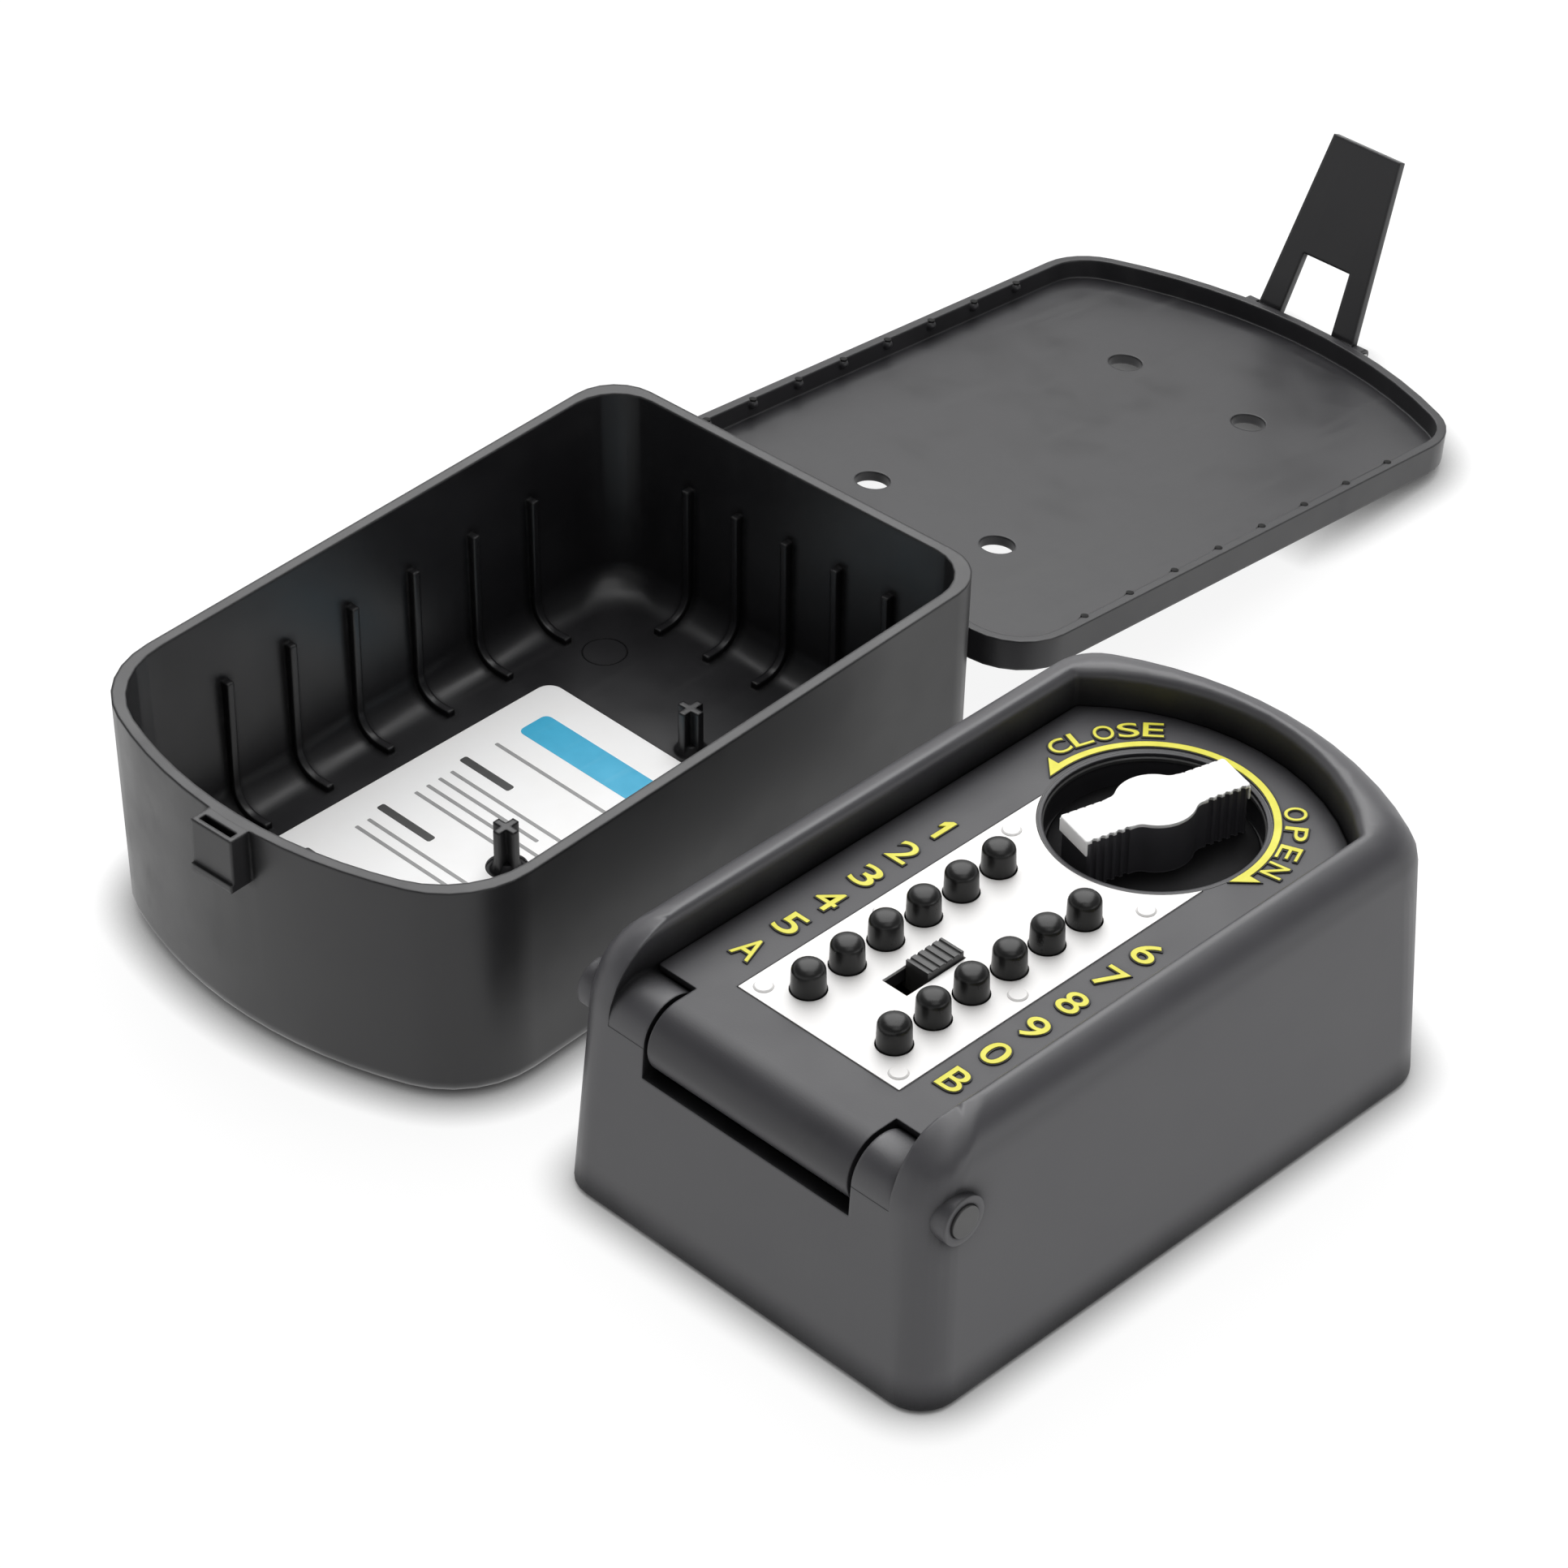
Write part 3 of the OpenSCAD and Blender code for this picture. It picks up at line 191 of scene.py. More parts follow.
class SurfaceGroups:
    """The shader node groups that the finishes share."""

    def __init__(self) -> None:
        """Builds each group once."""
        self.grain = self._grain()
        self.edges = self._edges()
        self.scratches = self._scratches()
        self.shade_and_dirt_group = self._crease_shade_and_dirt()

    @staticmethod
    def _start(name: str, inputs: dict[str, float],
               outputs: dict[str, SocketKind]) -> tuple[Tree, bpy.types.Node, bpy.types.Node]:
        """Makes an empty group with its sockets.

        Args:
            name: the group's name.
            inputs: the names and first values of its inputs.
            outputs: the names and kinds of its outputs.

        Returns:
            The group's tree, its input node and its output node.
        """
        group = bpy.data.node_groups.new(name, "ShaderNodeTree")
        for label, value in inputs.items():
            socket = group.interface.new_socket(label, in_out="INPUT",
                                                socket_type=SocketKind.VALUE.value)
            socket.default_value = value
        for label, kind in outputs.items():
            group.interface.new_socket(label, in_out="OUTPUT", socket_type=kind.value)
        tree = Tree(group)
        return tree, tree.node("NodeGroupInput"), tree.node("NodeGroupOutput")

    def _grain(self) -> bpy.types.NodeTree:
        """Builds the fine grain and the wide patches of a moulded or coated surface.

        Returns:
            The group, with a height, patches and specks.
        """
        tree, source, out = self._start(
            "surface_grain", {"Grain Size": 0.4 * MM, "Patch Size": 10 * MM},
            {"Height": SocketKind.VALUE, "Patches": SocketKind.VALUE, "Specks": SocketKind.VALUE})
        place = tree.node("ShaderNodeTexCoord").outputs["Object"]
        fine = tree.noise(place, source.outputs["Grain Size"], 3.0, 0.6)
        wide = tree.noise(place, source.outputs["Patch Size"], 4.0, 0.55)
        cells = tree.node("ShaderNodeTexVoronoi", Vector=place,
                          Scale=tree.math("DIVIDE", 0.35, source.outputs["Grain Size"]))
        tree.feed(out.inputs["Height"], fine)
        tree.feed(out.inputs["Patches"], tree.spread(wide, (0.32, 0.68), (0.0, 1.0)))
        specks = tree.spread(cells.outputs["Distance"], (0.10, 0.16), (1.0, 0.0))
        tree.feed(out.inputs["Specks"], specks)
        return tree.tree

    def _edges(self) -> bpy.types.NodeTree:
        """Builds the rounding and the wear of edges.

        Returns:
            The group, with a rounded normal and a mask of worn edges.
        """
        tree, source, out = self._start(
            "soft_edges", {"Radius": 0.3 * MM, "Break Size": 4 * MM},
            {"Normal": SocketKind.VECTOR, "Wear": SocketKind.VALUE})
        rounded = tree.node("ShaderNodeBevel", {"samples": 8}, Radius=source.outputs["Radius"])
        flat = tree.node("ShaderNodeNewGeometry").outputs["Normal"]
        turn = tree.node("ShaderNodeVectorMath", {"operation": "DOT_PRODUCT"})
        tree.feed(turn.inputs[0], rounded.outputs["Normal"])
        tree.feed(turn.inputs[1], flat)
        edge = tree.spread(turn.outputs["Value"], (0.99, 0.80), (0.0, 1.0))
        place = tree.node("ShaderNodeTexCoord").outputs["Object"]
        broken = tree.noise(place, source.outputs["Break Size"], 3.0)
        kept = tree.spread(broken, (0.40, 0.62), (0.15, 1.0))
        tree.feed(out.inputs["Normal"], rounded.outputs["Normal"])
        tree.feed(out.inputs["Wear"], tree.math("MULTIPLY", edge, kept))
        return tree.tree

    def _scratches(self) -> bpy.types.NodeTree:
        """Builds thin rubbed lines in two directions.

        Returns:
            The group, with a mask of the lines.
        """
        tree, source, out = self._start("rubbed_lines", {"Spacing": 3 * MM},
                                        {"Lines": SocketKind.VALUE})
        place = tree.node("ShaderNodeTexCoord").outputs["Object"]
        masks = []
        for turn in (0.5, -0.9):
            turned = tree.node("ShaderNodeMapping", Vector=place, Rotation=(0.3, 0.2, turn),
                               Scale=(1.0, 0.06, 0.4))
            lines = tree.noise(turned.outputs["Vector"], source.outputs["Spacing"], 2.0)
            masks.append(tree.spread(lines, (0.62, 0.72), (0.0, 1.0)))
        tree.feed(out.inputs["Lines"], tree.math("MAXIMUM", masks[0], masks[1]))
        return tree.tree

    def _crease_shade_and_dirt(self) -> bpy.types.NodeTree:
        """Builds painted shade, with a dirty tint, that gathers in each crease and recess beside
        raised pieces.

        Returns:
            The group, with a mask of the painted shade and its dirty tint.
        """
        tree, source, out = self._start(
            "crease_shade_and_dirt", {"Reach": 0.8 * MM, "Break Size": 2 * MM, "Above": -20 * MM},
            {"Shade And Dirt": SocketKind.VALUE})
        shut = tree.node("ShaderNodeAmbientOcclusion", {"samples": 6},
                         Distance=source.outputs["Reach"])
        place = tree.node("ShaderNodeTexCoord").outputs["Object"]
        broken = tree.noise(place, source.outputs["Break Size"], 2.0)
        # Painted shade: the occlusion mask darkens corners and recesses where shade falls.
        deep = tree.spread(shut.outputs["AO"], (0.62, 0.96), (1.0, 0.0))
        kept = tree.spread(broken, (0.3, 0.6), (0.75, 1.0))
        height = tree.node("ShaderNodeSeparateXYZ", Vector=place).outputs["Z"]
        raised = tree.math("SUBTRACT", height, source.outputs["Above"])
        held = tree.math("MULTIPLY", kept, tree.spread(raised, (0.0, 6 * MM), (0.0, 1.0)))
        tree.feed(out.inputs["Shade And Dirt"], tree.math("MULTIPLY", deep, held))
        return tree.tree


@dataclass(frozen=True)
class Finish:
    """One finish of the safe or the cover: its colours, gloss, grain and wear."""

    name: str
    colour: Colour
    patch_colour: Colour
    wear_colour: Colour
    gloss: Point
    metallic: float = 0.0
    specular: float = 0.5
    grain: float = 0.4 * MM
    relief: float = 0.02 * MM
    patch: float = 10 * MM
    edge: float = 0.3 * MM
    wear: float = 0.25
    rub: float = 0.12
    rub_spacing: float = 3 * MM
    specks: float = 0.0
    # Painted shade in each crease and recess, from an occlusion mask; the default colour is a dirty
    # brown, near-black colours give shade alone.
    shade_and_dirt: float = 0.0
    shade_and_dirt_reach: float = 0.8 * MM
    shade_and_dirt_above: float = -20 * MM
    shade_and_dirt_colour: Colour = (0.16, 0.13, 0.10, 1.0)

    def material(self, groups: SurfaceGroups) -> bpy.types.Material:
        """Builds the finish as a material.

        Args:
            groups: the shader node groups that finishes share.

        Returns:
            The material.
        """
        made, tree, out = empty_material(self.name)
        skin = tree.node("ShaderNodeBsdfPrincipled", Metallic=self.metallic,
                         Specular_IOR_Level=self.specular)
        grain = tree.node("ShaderNodeGroup", {"node_tree": groups.grain},
                          Grain_Size=self.grain, Patch_Size=self.patch)
        edges = tree.node("ShaderNodeGroup", {"node_tree": groups.edges},
                          Radius=self.edge, Break_Size=self.patch * 0.4)
        lines = tree.node("ShaderNodeGroup", {"node_tree": groups.scratches},
                          Spacing=self.rub_spacing)
        colour = tree.mix(grain.outputs["Patches"], self.colour, self.patch_colour)
        if self.specks:
            colour = tree.mix(tree.math("MULTIPLY", grain.outputs["Specks"], self.specks),
                              colour, self.wear_colour)
        rubbed = tree.math("MULTIPLY", lines.outputs["Lines"], self.rub)
        worn = tree.math("MULTIPLY", edges.outputs["Wear"], self.wear)
        colour = tree.mix(tree.math("MAXIMUM", rubbed, worn), colour, self.wear_colour)
        rough = tree.spread(grain.outputs["Patches"], (0.0, 1.0), self.gloss)
        rough = tree.math("ADD", rough, tree.math("MULTIPLY", rubbed, RUB_DULLS), clamp=True)
        # Painted shade with a dirty tint: darker, rougher, and part metallic so that its reflection
        # drops out as painted shade too.
        if self.shade_and_dirt:
            shade_and_dirt_group = tree.node("ShaderNodeGroup", {"node_tree": groups.shade_and_dirt_group},
                                Reach=self.shade_and_dirt_reach, Break_Size=2 * self.shade_and_dirt_reach,
                                Above=self.shade_and_dirt_above)
            shade_and_dirt_mask = tree.math("MULTIPLY", shade_and_dirt_group.outputs["Shade And Dirt"], self.shade_and_dirt)
            colour = tree.mix(shade_and_dirt_mask, colour, self.shade_and_dirt_colour)
            rough = tree.math("ADD", rough, tree.math("MULTIPLY", shade_and_dirt_mask, SHADE_AND_DIRT_DULLS), clamp=True)
            dead = tree.math("MULTIPLY", shade_and_dirt_mask, PAINTED_SHADE_DEADENS)
            tree.feed(skin.inputs["Metallic"], tree.math("MAXIMUM", dead, self.metallic))
        bump = tree.node("ShaderNodeBump", Strength=1.0, Distance=self.relief,
                         Height=grain.outputs["Height"], Normal=edges.outputs["Normal"])
        tree.feed(skin.inputs["Base Color"], colour)
        tree.feed(skin.inputs["Roughness"], rough)
        tree.feed(skin.inputs["Normal"], bump.outputs["Normal"])
        tree.feed(out.inputs["Surface"], skin.outputs["BSDF"])
        return made


def grey(level: float, warmth: float = 0.0) -> Colour:
    """Gives a grey of a level, a little warmer or cooler."""
    return (level * (1 + warmth), level, level * (1 - warmth), 1.0)


def slate(level: float) -> Colour:
    """Gives a cool grey of a level, with a trace of violet."""
    return (level, level * 0.98, level * 1.10, 1.0)


class Look(Enum):
    """The finishes that the pieces take."""

    # The body's crease mask is painted shade, near black, on the recess walls and in its corners.
    CAST_BODY = Finish("charcoal_cast_coating", slate(0.046), slate(0.052), grey(0.12),
                       (0.40, 0.46), specular=0.72, grain=0.35 * MM, relief=0.012 * MM,
                       patch=14 * MM, edge=0.8 * MM, wear=0.18, rub=0.05, specks=0.06,
                       shade_and_dirt=0.95, shade_and_dirt_reach=8 * MM, shade_and_dirt_colour=slate(0.006))
    # The body's charcoal coating painted darker on the door as shade, with painted shade along the
    # recess walls above 38 mm.
    DOOR_FACE = Finish("charcoal_door_coating_painted_shade", slate(0.034), slate(0.039), grey(0.10),
                       (0.44, 0.50), grain=0.3 * MM, relief=0.012 * MM, patch=12 * MM,
                       edge=0.5 * MM, wear=0.2, rub=0.06, specks=0.06, shade_and_dirt=0.7,
                       shade_and_dirt_reach=4 * MM, shade_and_dirt_above=38 * MM, shade_and_dirt_colour=slate(0.008))
    PIN = Finish("dark_pin_steel", grey(0.075), grey(0.060), grey(0.16), (0.38, 0.5), metallic=0.1,
                 grain=0.2 * MM, relief=0.008 * MM, edge=0.3 * MM, wear=0.5)
    STEEL = Finish("plain_steel", grey(0.50), grey(0.42), grey(0.62), (0.26, 0.42), metallic=1.0,
                   grain=0.15 * MM, relief=0.004 * MM, patch=5 * MM, rub=0.2, rub_spacing=1 * MM)
    ZINC = Finish("cast_zinc", grey(0.40, -0.01), grey(0.33, -0.01), grey(0.52), (0.38, 0.52),
                  metallic=0.9, grain=0.3 * MM, relief=0.012 * MM, patch=7 * MM, rub=0.15)
    BRASS = Finish("cut_brass", (0.52, 0.38, 0.15, 1.0), (0.44, 0.31, 0.12, 1.0),
                   (0.66, 0.52, 0.26, 1.0), (0.24, 0.38), metallic=1.0, grain=0.15 * MM,
                   relief=0.004 * MM, patch=3 * MM)
    RUBBER = Finish("black_seal_rubber", grey(0.016), grey(0.022), grey(0.04), (0.68, 0.8),
                    specular=0.3, grain=0.25 * MM, relief=0.02 * MM, patch=5 * MM, rub=0.05)
    # The keypad plate and rivets take a little painted shade, tinted a dirty brown, round buttons
    # and rivet heads.
    WHITE_PLATE = Finish("white_keypad_enamel", grey(0.90, 0.010), grey(0.88, 0.014),
                         grey(0.76, 0.03), (0.34, 0.44), grain=0.3 * MM, relief=0.004 * MM,
                         patch=9 * MM, edge=0.15 * MM, wear=0.3, rub=0.04, shade_and_dirt=0.15)
    RIVET = Finish("painted_rivet_heads", grey(0.87, 0.012), grey(0.84, 0.016), grey(0.66, 0.03),
                   (0.32, 0.44), grain=0.25 * MM, relief=0.004 * MM, patch=2 * MM, edge=0.12 * MM,
                   wear=0.4, shade_and_dirt=0.2)
    BUTTON = Finish("satin_button_plastic", grey(0.011), grey(0.014), grey(0.05), (0.26, 0.34),
                    specular=0.32, grain=0.3 * MM, relief=0.004 * MM, patch=3 * MM,
                    edge=0.2 * MM, wear=0.2, rub=0.05)
    KNOB = Finish("knob_black_plastic", slate(0.050), slate(0.056), grey(0.10), (0.36, 0.44),
                  grain=0.3 * MM, relief=0.006 * MM, patch=6 * MM, wear=0.3, rub=0.05)
    # The knob's plastic painted darker and duller on the base disc down in the well, as shade, with
    # painted crease shade on it too.
    KNOB_BASE_SHADED = Finish("knob_base_plastic_painted_shade", slate(0.009), slate(0.012), grey(0.03), (0.5, 0.6),
                       specular=0.3, grain=0.3 * MM, relief=0.006 * MM, patch=6 * MM, shade_and_dirt=0.9,
                       shade_and_dirt_reach=8 * MM, shade_and_dirt_colour=slate(0.003))
    KNOB_TOP = Finish("knob_white_plastic", grey(0.90, 0.004), grey(0.88, 0.006), grey(0.78, 0.02),
                      (0.36, 0.44), grain=0.3 * MM, relief=0.004 * MM, patch=6 * MM, edge=0.2 * MM,
                      wear=0.4, rub=0.05)
    SLIDER = Finish("slider_grey_plastic", grey(0.035), grey(0.045), grey(0.14), (0.36, 0.46),
                    grain=0.25 * MM, relief=0.006 * MM, patch=3 * MM, edge=0.15 * MM, wear=0.7)
    WELL_EDGE = Finish("bare_well_edge", grey(0.055), grey(0.07), grey(0.16), (0.34, 0.44),
                       grain=0.25 * MM, relief=0.006 * MM, patch=5 * MM, edge=0.15 * MM, wear=0.5)
    # Dark rim round each raised mark: its bare sides, painted darker as the shade round it.
    MARK_EDGE_SHADE = Finish("dark_mark_edges_and_painted_shade", grey(0.014), grey(0.018), grey(0.05), (0.5, 0.6),
                       grain=0.2 * MM, relief=0.004 * MM, patch=3 * MM, edge=0.08 * MM, wear=0.2)
    MARKS = Finish("yellow_mark_paint", (0.80, 0.76, 0.06, 1.0), (0.74, 0.69, 0.05, 1.0),
                   (0.40, 0.36, 0.05, 1.0), (0.42, 0.55), grain=0.25 * MM, relief=0.010 * MM,
                   patch=3 * MM, edge=0.12 * MM, wear=0.5, rub=0.10)
    # The cover's crease mask is painted shade: dark lines beside ribs and posts and along the tub's
    # foot.
    COVER = Finish("black_cover_plastic", slate(0.012), slate(0.015), grey(0.04), (0.32, 0.42),
                   grain=0.4 * MM, relief=0.008 * MM, patch=16 * MM, edge=0.8 * MM, wear=0.05,
                   rub=0.10, rub_spacing=4 * MM, shade_and_dirt=0.85, shade_and_dirt_reach=2 * MM,
                   shade_and_dirt_colour=slate(0.005))
    # The pips' tops in plate plastic painted near black, as the shade round them.
    PIP_SHADE = Finish("pip_plastic_painted_shade", grey(0.007), grey(0.009), grey(0.02), (0.6, 0.7), specular=0.2,
                 grain=0.2 * MM, relief=0.004 * MM, patch=2 * MM, edge=0.1 * MM, wear=0.2)
    # The cover's black plastic, paler on the plate as painted sheen.
    PLATE = Finish("black_plate_plastic_painted_sheen", slate(0.016), slate(0.023), grey(0.05), (0.32, 0.46),
                   grain=0.4 * MM, relief=0.008 * MM, patch=14 * MM, edge=0.6 * MM, wear=0.08,
                   rub=0.14, rub_spacing=4 * MM)
    CARD = Finish("printed_card_stock", grey(0.90), grey(0.88, 0.006), grey(0.78), (0.40, 0.50),
                  grain=0.2 * MM, relief=0.003 * MM, patch=8 * MM, edge=0.1 * MM, wear=0.3,
                  rub=0.03)
    BLUE_INK = Finish("blue_card_ink", (0.03, 0.42, 0.66, 1.0), (0.025, 0.38, 0.61, 1.0),
                      (0.2, 0.55, 0.72, 1.0), (0.42, 0.52), grain=0.2 * MM, relief=0.003 * MM,
                      patch=4 * MM, edge=0.05 * MM, wear=0.2)
    GREY_INK = Finish("grey_card_ink", grey(0.26), grey(0.30), grey(0.4), (0.45, 0.55),
                      grain=0.2 * MM, relief=0.003 * MM, patch=3 * MM, edge=0.05 * MM, wear=0.2)
    DARK_INK = Finish("dark_card_ink", grey(0.035), grey(0.045), grey(0.12), (0.45, 0.55),
                      grain=0.2 * MM, relief=0.003 * MM, patch=3 * MM, edge=0.05 * MM, wear=0.2)


class Paintbox:
    """The finishes as materials, each made when a piece first takes it."""

    def __init__(self) -> None:
        """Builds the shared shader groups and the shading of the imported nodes."""
        self.groups = SurfaceGroups()
        self.made: dict[Look, bpy.types.Material] = {}
        self.shading = self._round_shading()

    @staticmethod
    def _round_shading() -> bpy.types.NodeTree:
        """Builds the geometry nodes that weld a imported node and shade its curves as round.

        Returns:
            The geometry node tree.
        """
        group = bpy.data.node_groups.new("round_shading", "GeometryNodeTree")
        group.interface.new_socket("Geometry", in_out="INPUT", socket_type="NodeSocketGeometry")
        group.interface.new_socket("Geometry", in_out="OUTPUT", socket_type="NodeSocketGeometry")
        tree = Tree(group)
        source = tree.node("NodeGroupInput")
        out = tree.node("NodeGroupOutput")
        bare = tree.node("GeometryNodeRemoveAttribute", Geometry=source.outputs[0],
                         Name="custom_normal")
        weld = tree.node("GeometryNodeMergeByDistance", Geometry=bare.outputs["Geometry"],
                         Distance=NODE_WELD)
        smooth = tree.node("GeometryNodeSetShadeSmooth", {"domain": "FACE"},
                           Geometry=weld.outputs[0])
        angle = tree.node("GeometryNodeInputMeshEdgeAngle").outputs["Unsigned Angle"]
        sharp = tree.node("FunctionNodeCompare",
                          {"data_type": "FLOAT", "operation": "GREATER_THAN"})
        tree.feed(sharp.inputs[0], angle)
        tree.feed(sharp.inputs[1], NODE_CRISP_EDGE)
        split = tree.node("GeometryNodeSetShadeSmooth", {"domain": "EDGE"},
                          Geometry=smooth.outputs[0], Selection=sharp.outputs["Result"],
                          Shade_Smooth=False)
        tree.feed(out.inputs[0], split.outputs[0])
        return group

    def material(self, look: Look) -> bpy.types.Material:
        """Gives a finish's material, making it at its first use.

        Args:
            look: the finish.

        Returns:
            The material.
        """
        if look not in self.made:
            self.made[look] = look.value.material(self.groups)
        return self.made[look]

    def dress(self, piece: bpy.types.Object, look: Look) -> None:
        """Gives a piece one finish in place of any other."""
        piece.data.materials.clear()
        piece.data.materials.append(self.material(look))

    def dress_node(self, name: str, look: Look) -> None:
        """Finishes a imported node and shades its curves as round.

        Args:
            name: the node.
            look: its finish.
        """
        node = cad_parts[name]
        self.dress(node, look)
        node.modifiers.new("round_shading", "NODES").node_group = self.shading
        weighted = node.modifiers.new("flat_faces", "WEIGHTED_NORMAL")
        weighted.keep_sharp = True
        LOG.info("dressed %s as %s", name, look.value.name)

    def add_piece(self, piece: bpy.types.Object, look: Look, body: str, slot: str,
                  *stands_for: str) -> None:
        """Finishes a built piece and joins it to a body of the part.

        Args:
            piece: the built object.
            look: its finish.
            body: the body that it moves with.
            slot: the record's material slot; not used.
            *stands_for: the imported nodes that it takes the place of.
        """
        self.dress(piece, look)
        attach(piece, body)
        if stands_for:
            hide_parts(*stands_for)
        LOG.info("built %s on %s", piece.name, body)


def finish_mesh(name: str, work: bmesh.types.BMesh, weld: bool = False) -> bpy.types.Object:
    """Makes an object of a built mesh, with round shading across shallow edges.

    Args:
        name: the piece's name.
        work: the mesh, which is used up.
        weld: whether points at one place are joined first.

    Returns:
        The object, in the scene.
    """
    if weld:
        bmesh.ops.remove_doubles(work, verts=work.verts[:], dist=WELD)
    bmesh.ops.recalc_face_normals(work, faces=work.faces[:])
    for face in work.faces:
        face.smooth = True
    for edge in work.edges:
        edge.smooth = edge.calc_face_angle(math.pi) < CRISP_EDGE
    mesh = bpy.data.meshes.new(name)
    work.to_mesh(mesh)
    work.free()
    piece = bpy.data.objects.new(name, mesh)
    bpy.context.scene.collection.objects.link(piece)
    return piece


def ring_points(radius: float, height: float, steps: int) -> list[Vector]:
    """Gives the points of a level ring round an upright line."""
    turn = math.tau / steps
    return [Vector((radius * math.cos(i * turn), radius * math.sin(i * turn), height))
            for i in range(steps)]


def join_rings(work: bmesh.types.BMesh, rings: list[list[bmesh.types.BMVert]], steps: int) -> None:
    """Adds the faces between rings that follow each other.

    Args:
        work: the mesh that they are added to.
        rings: the points of each ring, or one point for an end on the line.
        steps: the points of a ring.
    """
    for low, high in zip(rings, rings[1:]):
        for i in range(steps):
            j = (i + 1) % steps
            corners = [low[i % len(low)], low[j % len(low)],
                       high[j % len(high)], high[i % len(high)]]
            corners = list(dict.fromkeys(corners))
            if len(corners) > 2:
                work.faces.new(corners)


def add_lathe(work: bmesh.types.BMesh, profile: list[Point], centre: Vector,
              steps: int = 48) -> None:
    """Adds a turned solid about an upright line.

    Args:
        work: the mesh that it is added to.
        profile: radius and height of each ring, from one end to the other.
        centre: the line's foot.
        steps: the points of a ring.
    """
    rings = []
    for radius, height in profile:
        if radius < 1e-7:
            rings.append([work.verts.new(centre + Vector((0, 0, height)))])
            continue
        rings.append([work.verts.new(centre + point)
                      for point in ring_points(radius, height, steps)])
    join_rings(work, rings, steps)


def add_slab(work: bmesh.types.BMesh, outline: list[Point], low: float, high: float, place: Matrix,
             round_top: float = 0.0) -> None:
    """Adds an outline drawn up to a slab.

    Args:
        work: the mesh that it is added to.
        outline: the corners, in order.
        low: height of the underside.
        high: height of the top.
        place: where the slab's own frame lies.
        round_top: radius of the top's edge.
    """
    floor = [work.verts.new(place @ Vector((x, y, low))) for x, y in outline]
    roof = [work.verts.new(place @ Vector((x, y, high))) for x, y in outline]
    work.faces.new(floor[::-1])
    work.faces.new(roof)
    count = len(outline)
    for i in range(count):
        j = (i + 1) % count
        work.faces.new([floor[i], floor[j], roof[j], roof[i]])
    if round_top:
        rim = [work.edges.get((roof[i], roof[(i + 1) % count])) for i in range(count)]
        bmesh.ops.bevel(work, geom=rim, offset=round_top, segments=3, profile=0.5, affect="EDGES",
                        clamp_overlap=True)


def arc(centre: Point, radius: float, start: float, end: float, steps: int) -> list[Point]:
    """Gives points on an arc, both ends included.

    Args:
        centre: the arc's centre.
        radius: its radius.
        start: the first angle in degrees.
        end: the last angle in degrees.
        steps: how many parts the arc has, or 0 for its first point alone.

    Returns:
        The points.
    """
    angles = [math.radians(start + (end - start) * i / max(steps, 1)) for i in range(steps + 1)]
    return [(centre[0] + radius * math.cos(a), centre[1] + radius * math.sin(a)) for a in angles]


def round_box(low: Point, high: Point, radius: float) -> list[Point]:
    """Gives the outline of a box with round corners.

    Args:
        low: its lowest corner.
        high: its highest corner.
        radius: the corners' radius.

    Returns:
        The points.
    """
    near = (low[0] + radius, low[1] + radius)
    far = (high[0] - radius, high[1] - radius)
    return (arc((far[0], near[1]), radius, -90, 0, 5) + arc(far, radius, 0, 90, 5)
            + arc((near[0], far[1]), radius, 90, 180, 5) + arc(near, radius, 180, 270, 5))


@dataclass
class Placing:
    """Where the safe's and the cover's main places lie, in metres in the shared frame."""

    hinge_end: float = -65.75 * MM
    knob_y: float = 32.75 * MM
    face_z: float = 44 * MM
    pad_z: float = 44.1 * MM
    cover_x: float = -113.9 * MM
    cover_y: float = 63 * MM
    cover_turn: float = math.radians(2.56)

    def knob(self) -> Vector:
        """Gives the foot of the knob's axis."""
        return Vector((0, self.knob_y, 0))

    def knob_face(self, shift: float) -> Vector:
        """Gives the place on the door's face over the knob's axis, shifted across."""
        return Vector((shift, self.knob_y, self.face_z))

    def cover(self) -> Matrix:
        """Gives the frame of the weather cover's tub."""
        return (Matrix.Translation((self.cover_x, self.cover_y, 0))
                @ Matrix.Rotation(self.cover_turn, 4, "Z"))


@dataclass
class SafeBody:
    """The cast body, its hinge pin, its seal and its strike."""

    looks: dict[str, Look] = field(default_factory=lambda: {
        "housing": Look.CAST_BODY, "hinge_pin": Look.PIN, "door_seal": Look.RUBBER,
        "strike": Look.STEEL, "strike_screws": Look.STEEL})

    def build(self, paint: Paintbox) -> None:
        """Dresses the body's nodes."""
        for name, look in self.looks.items():
            paint.dress_node(name, look)


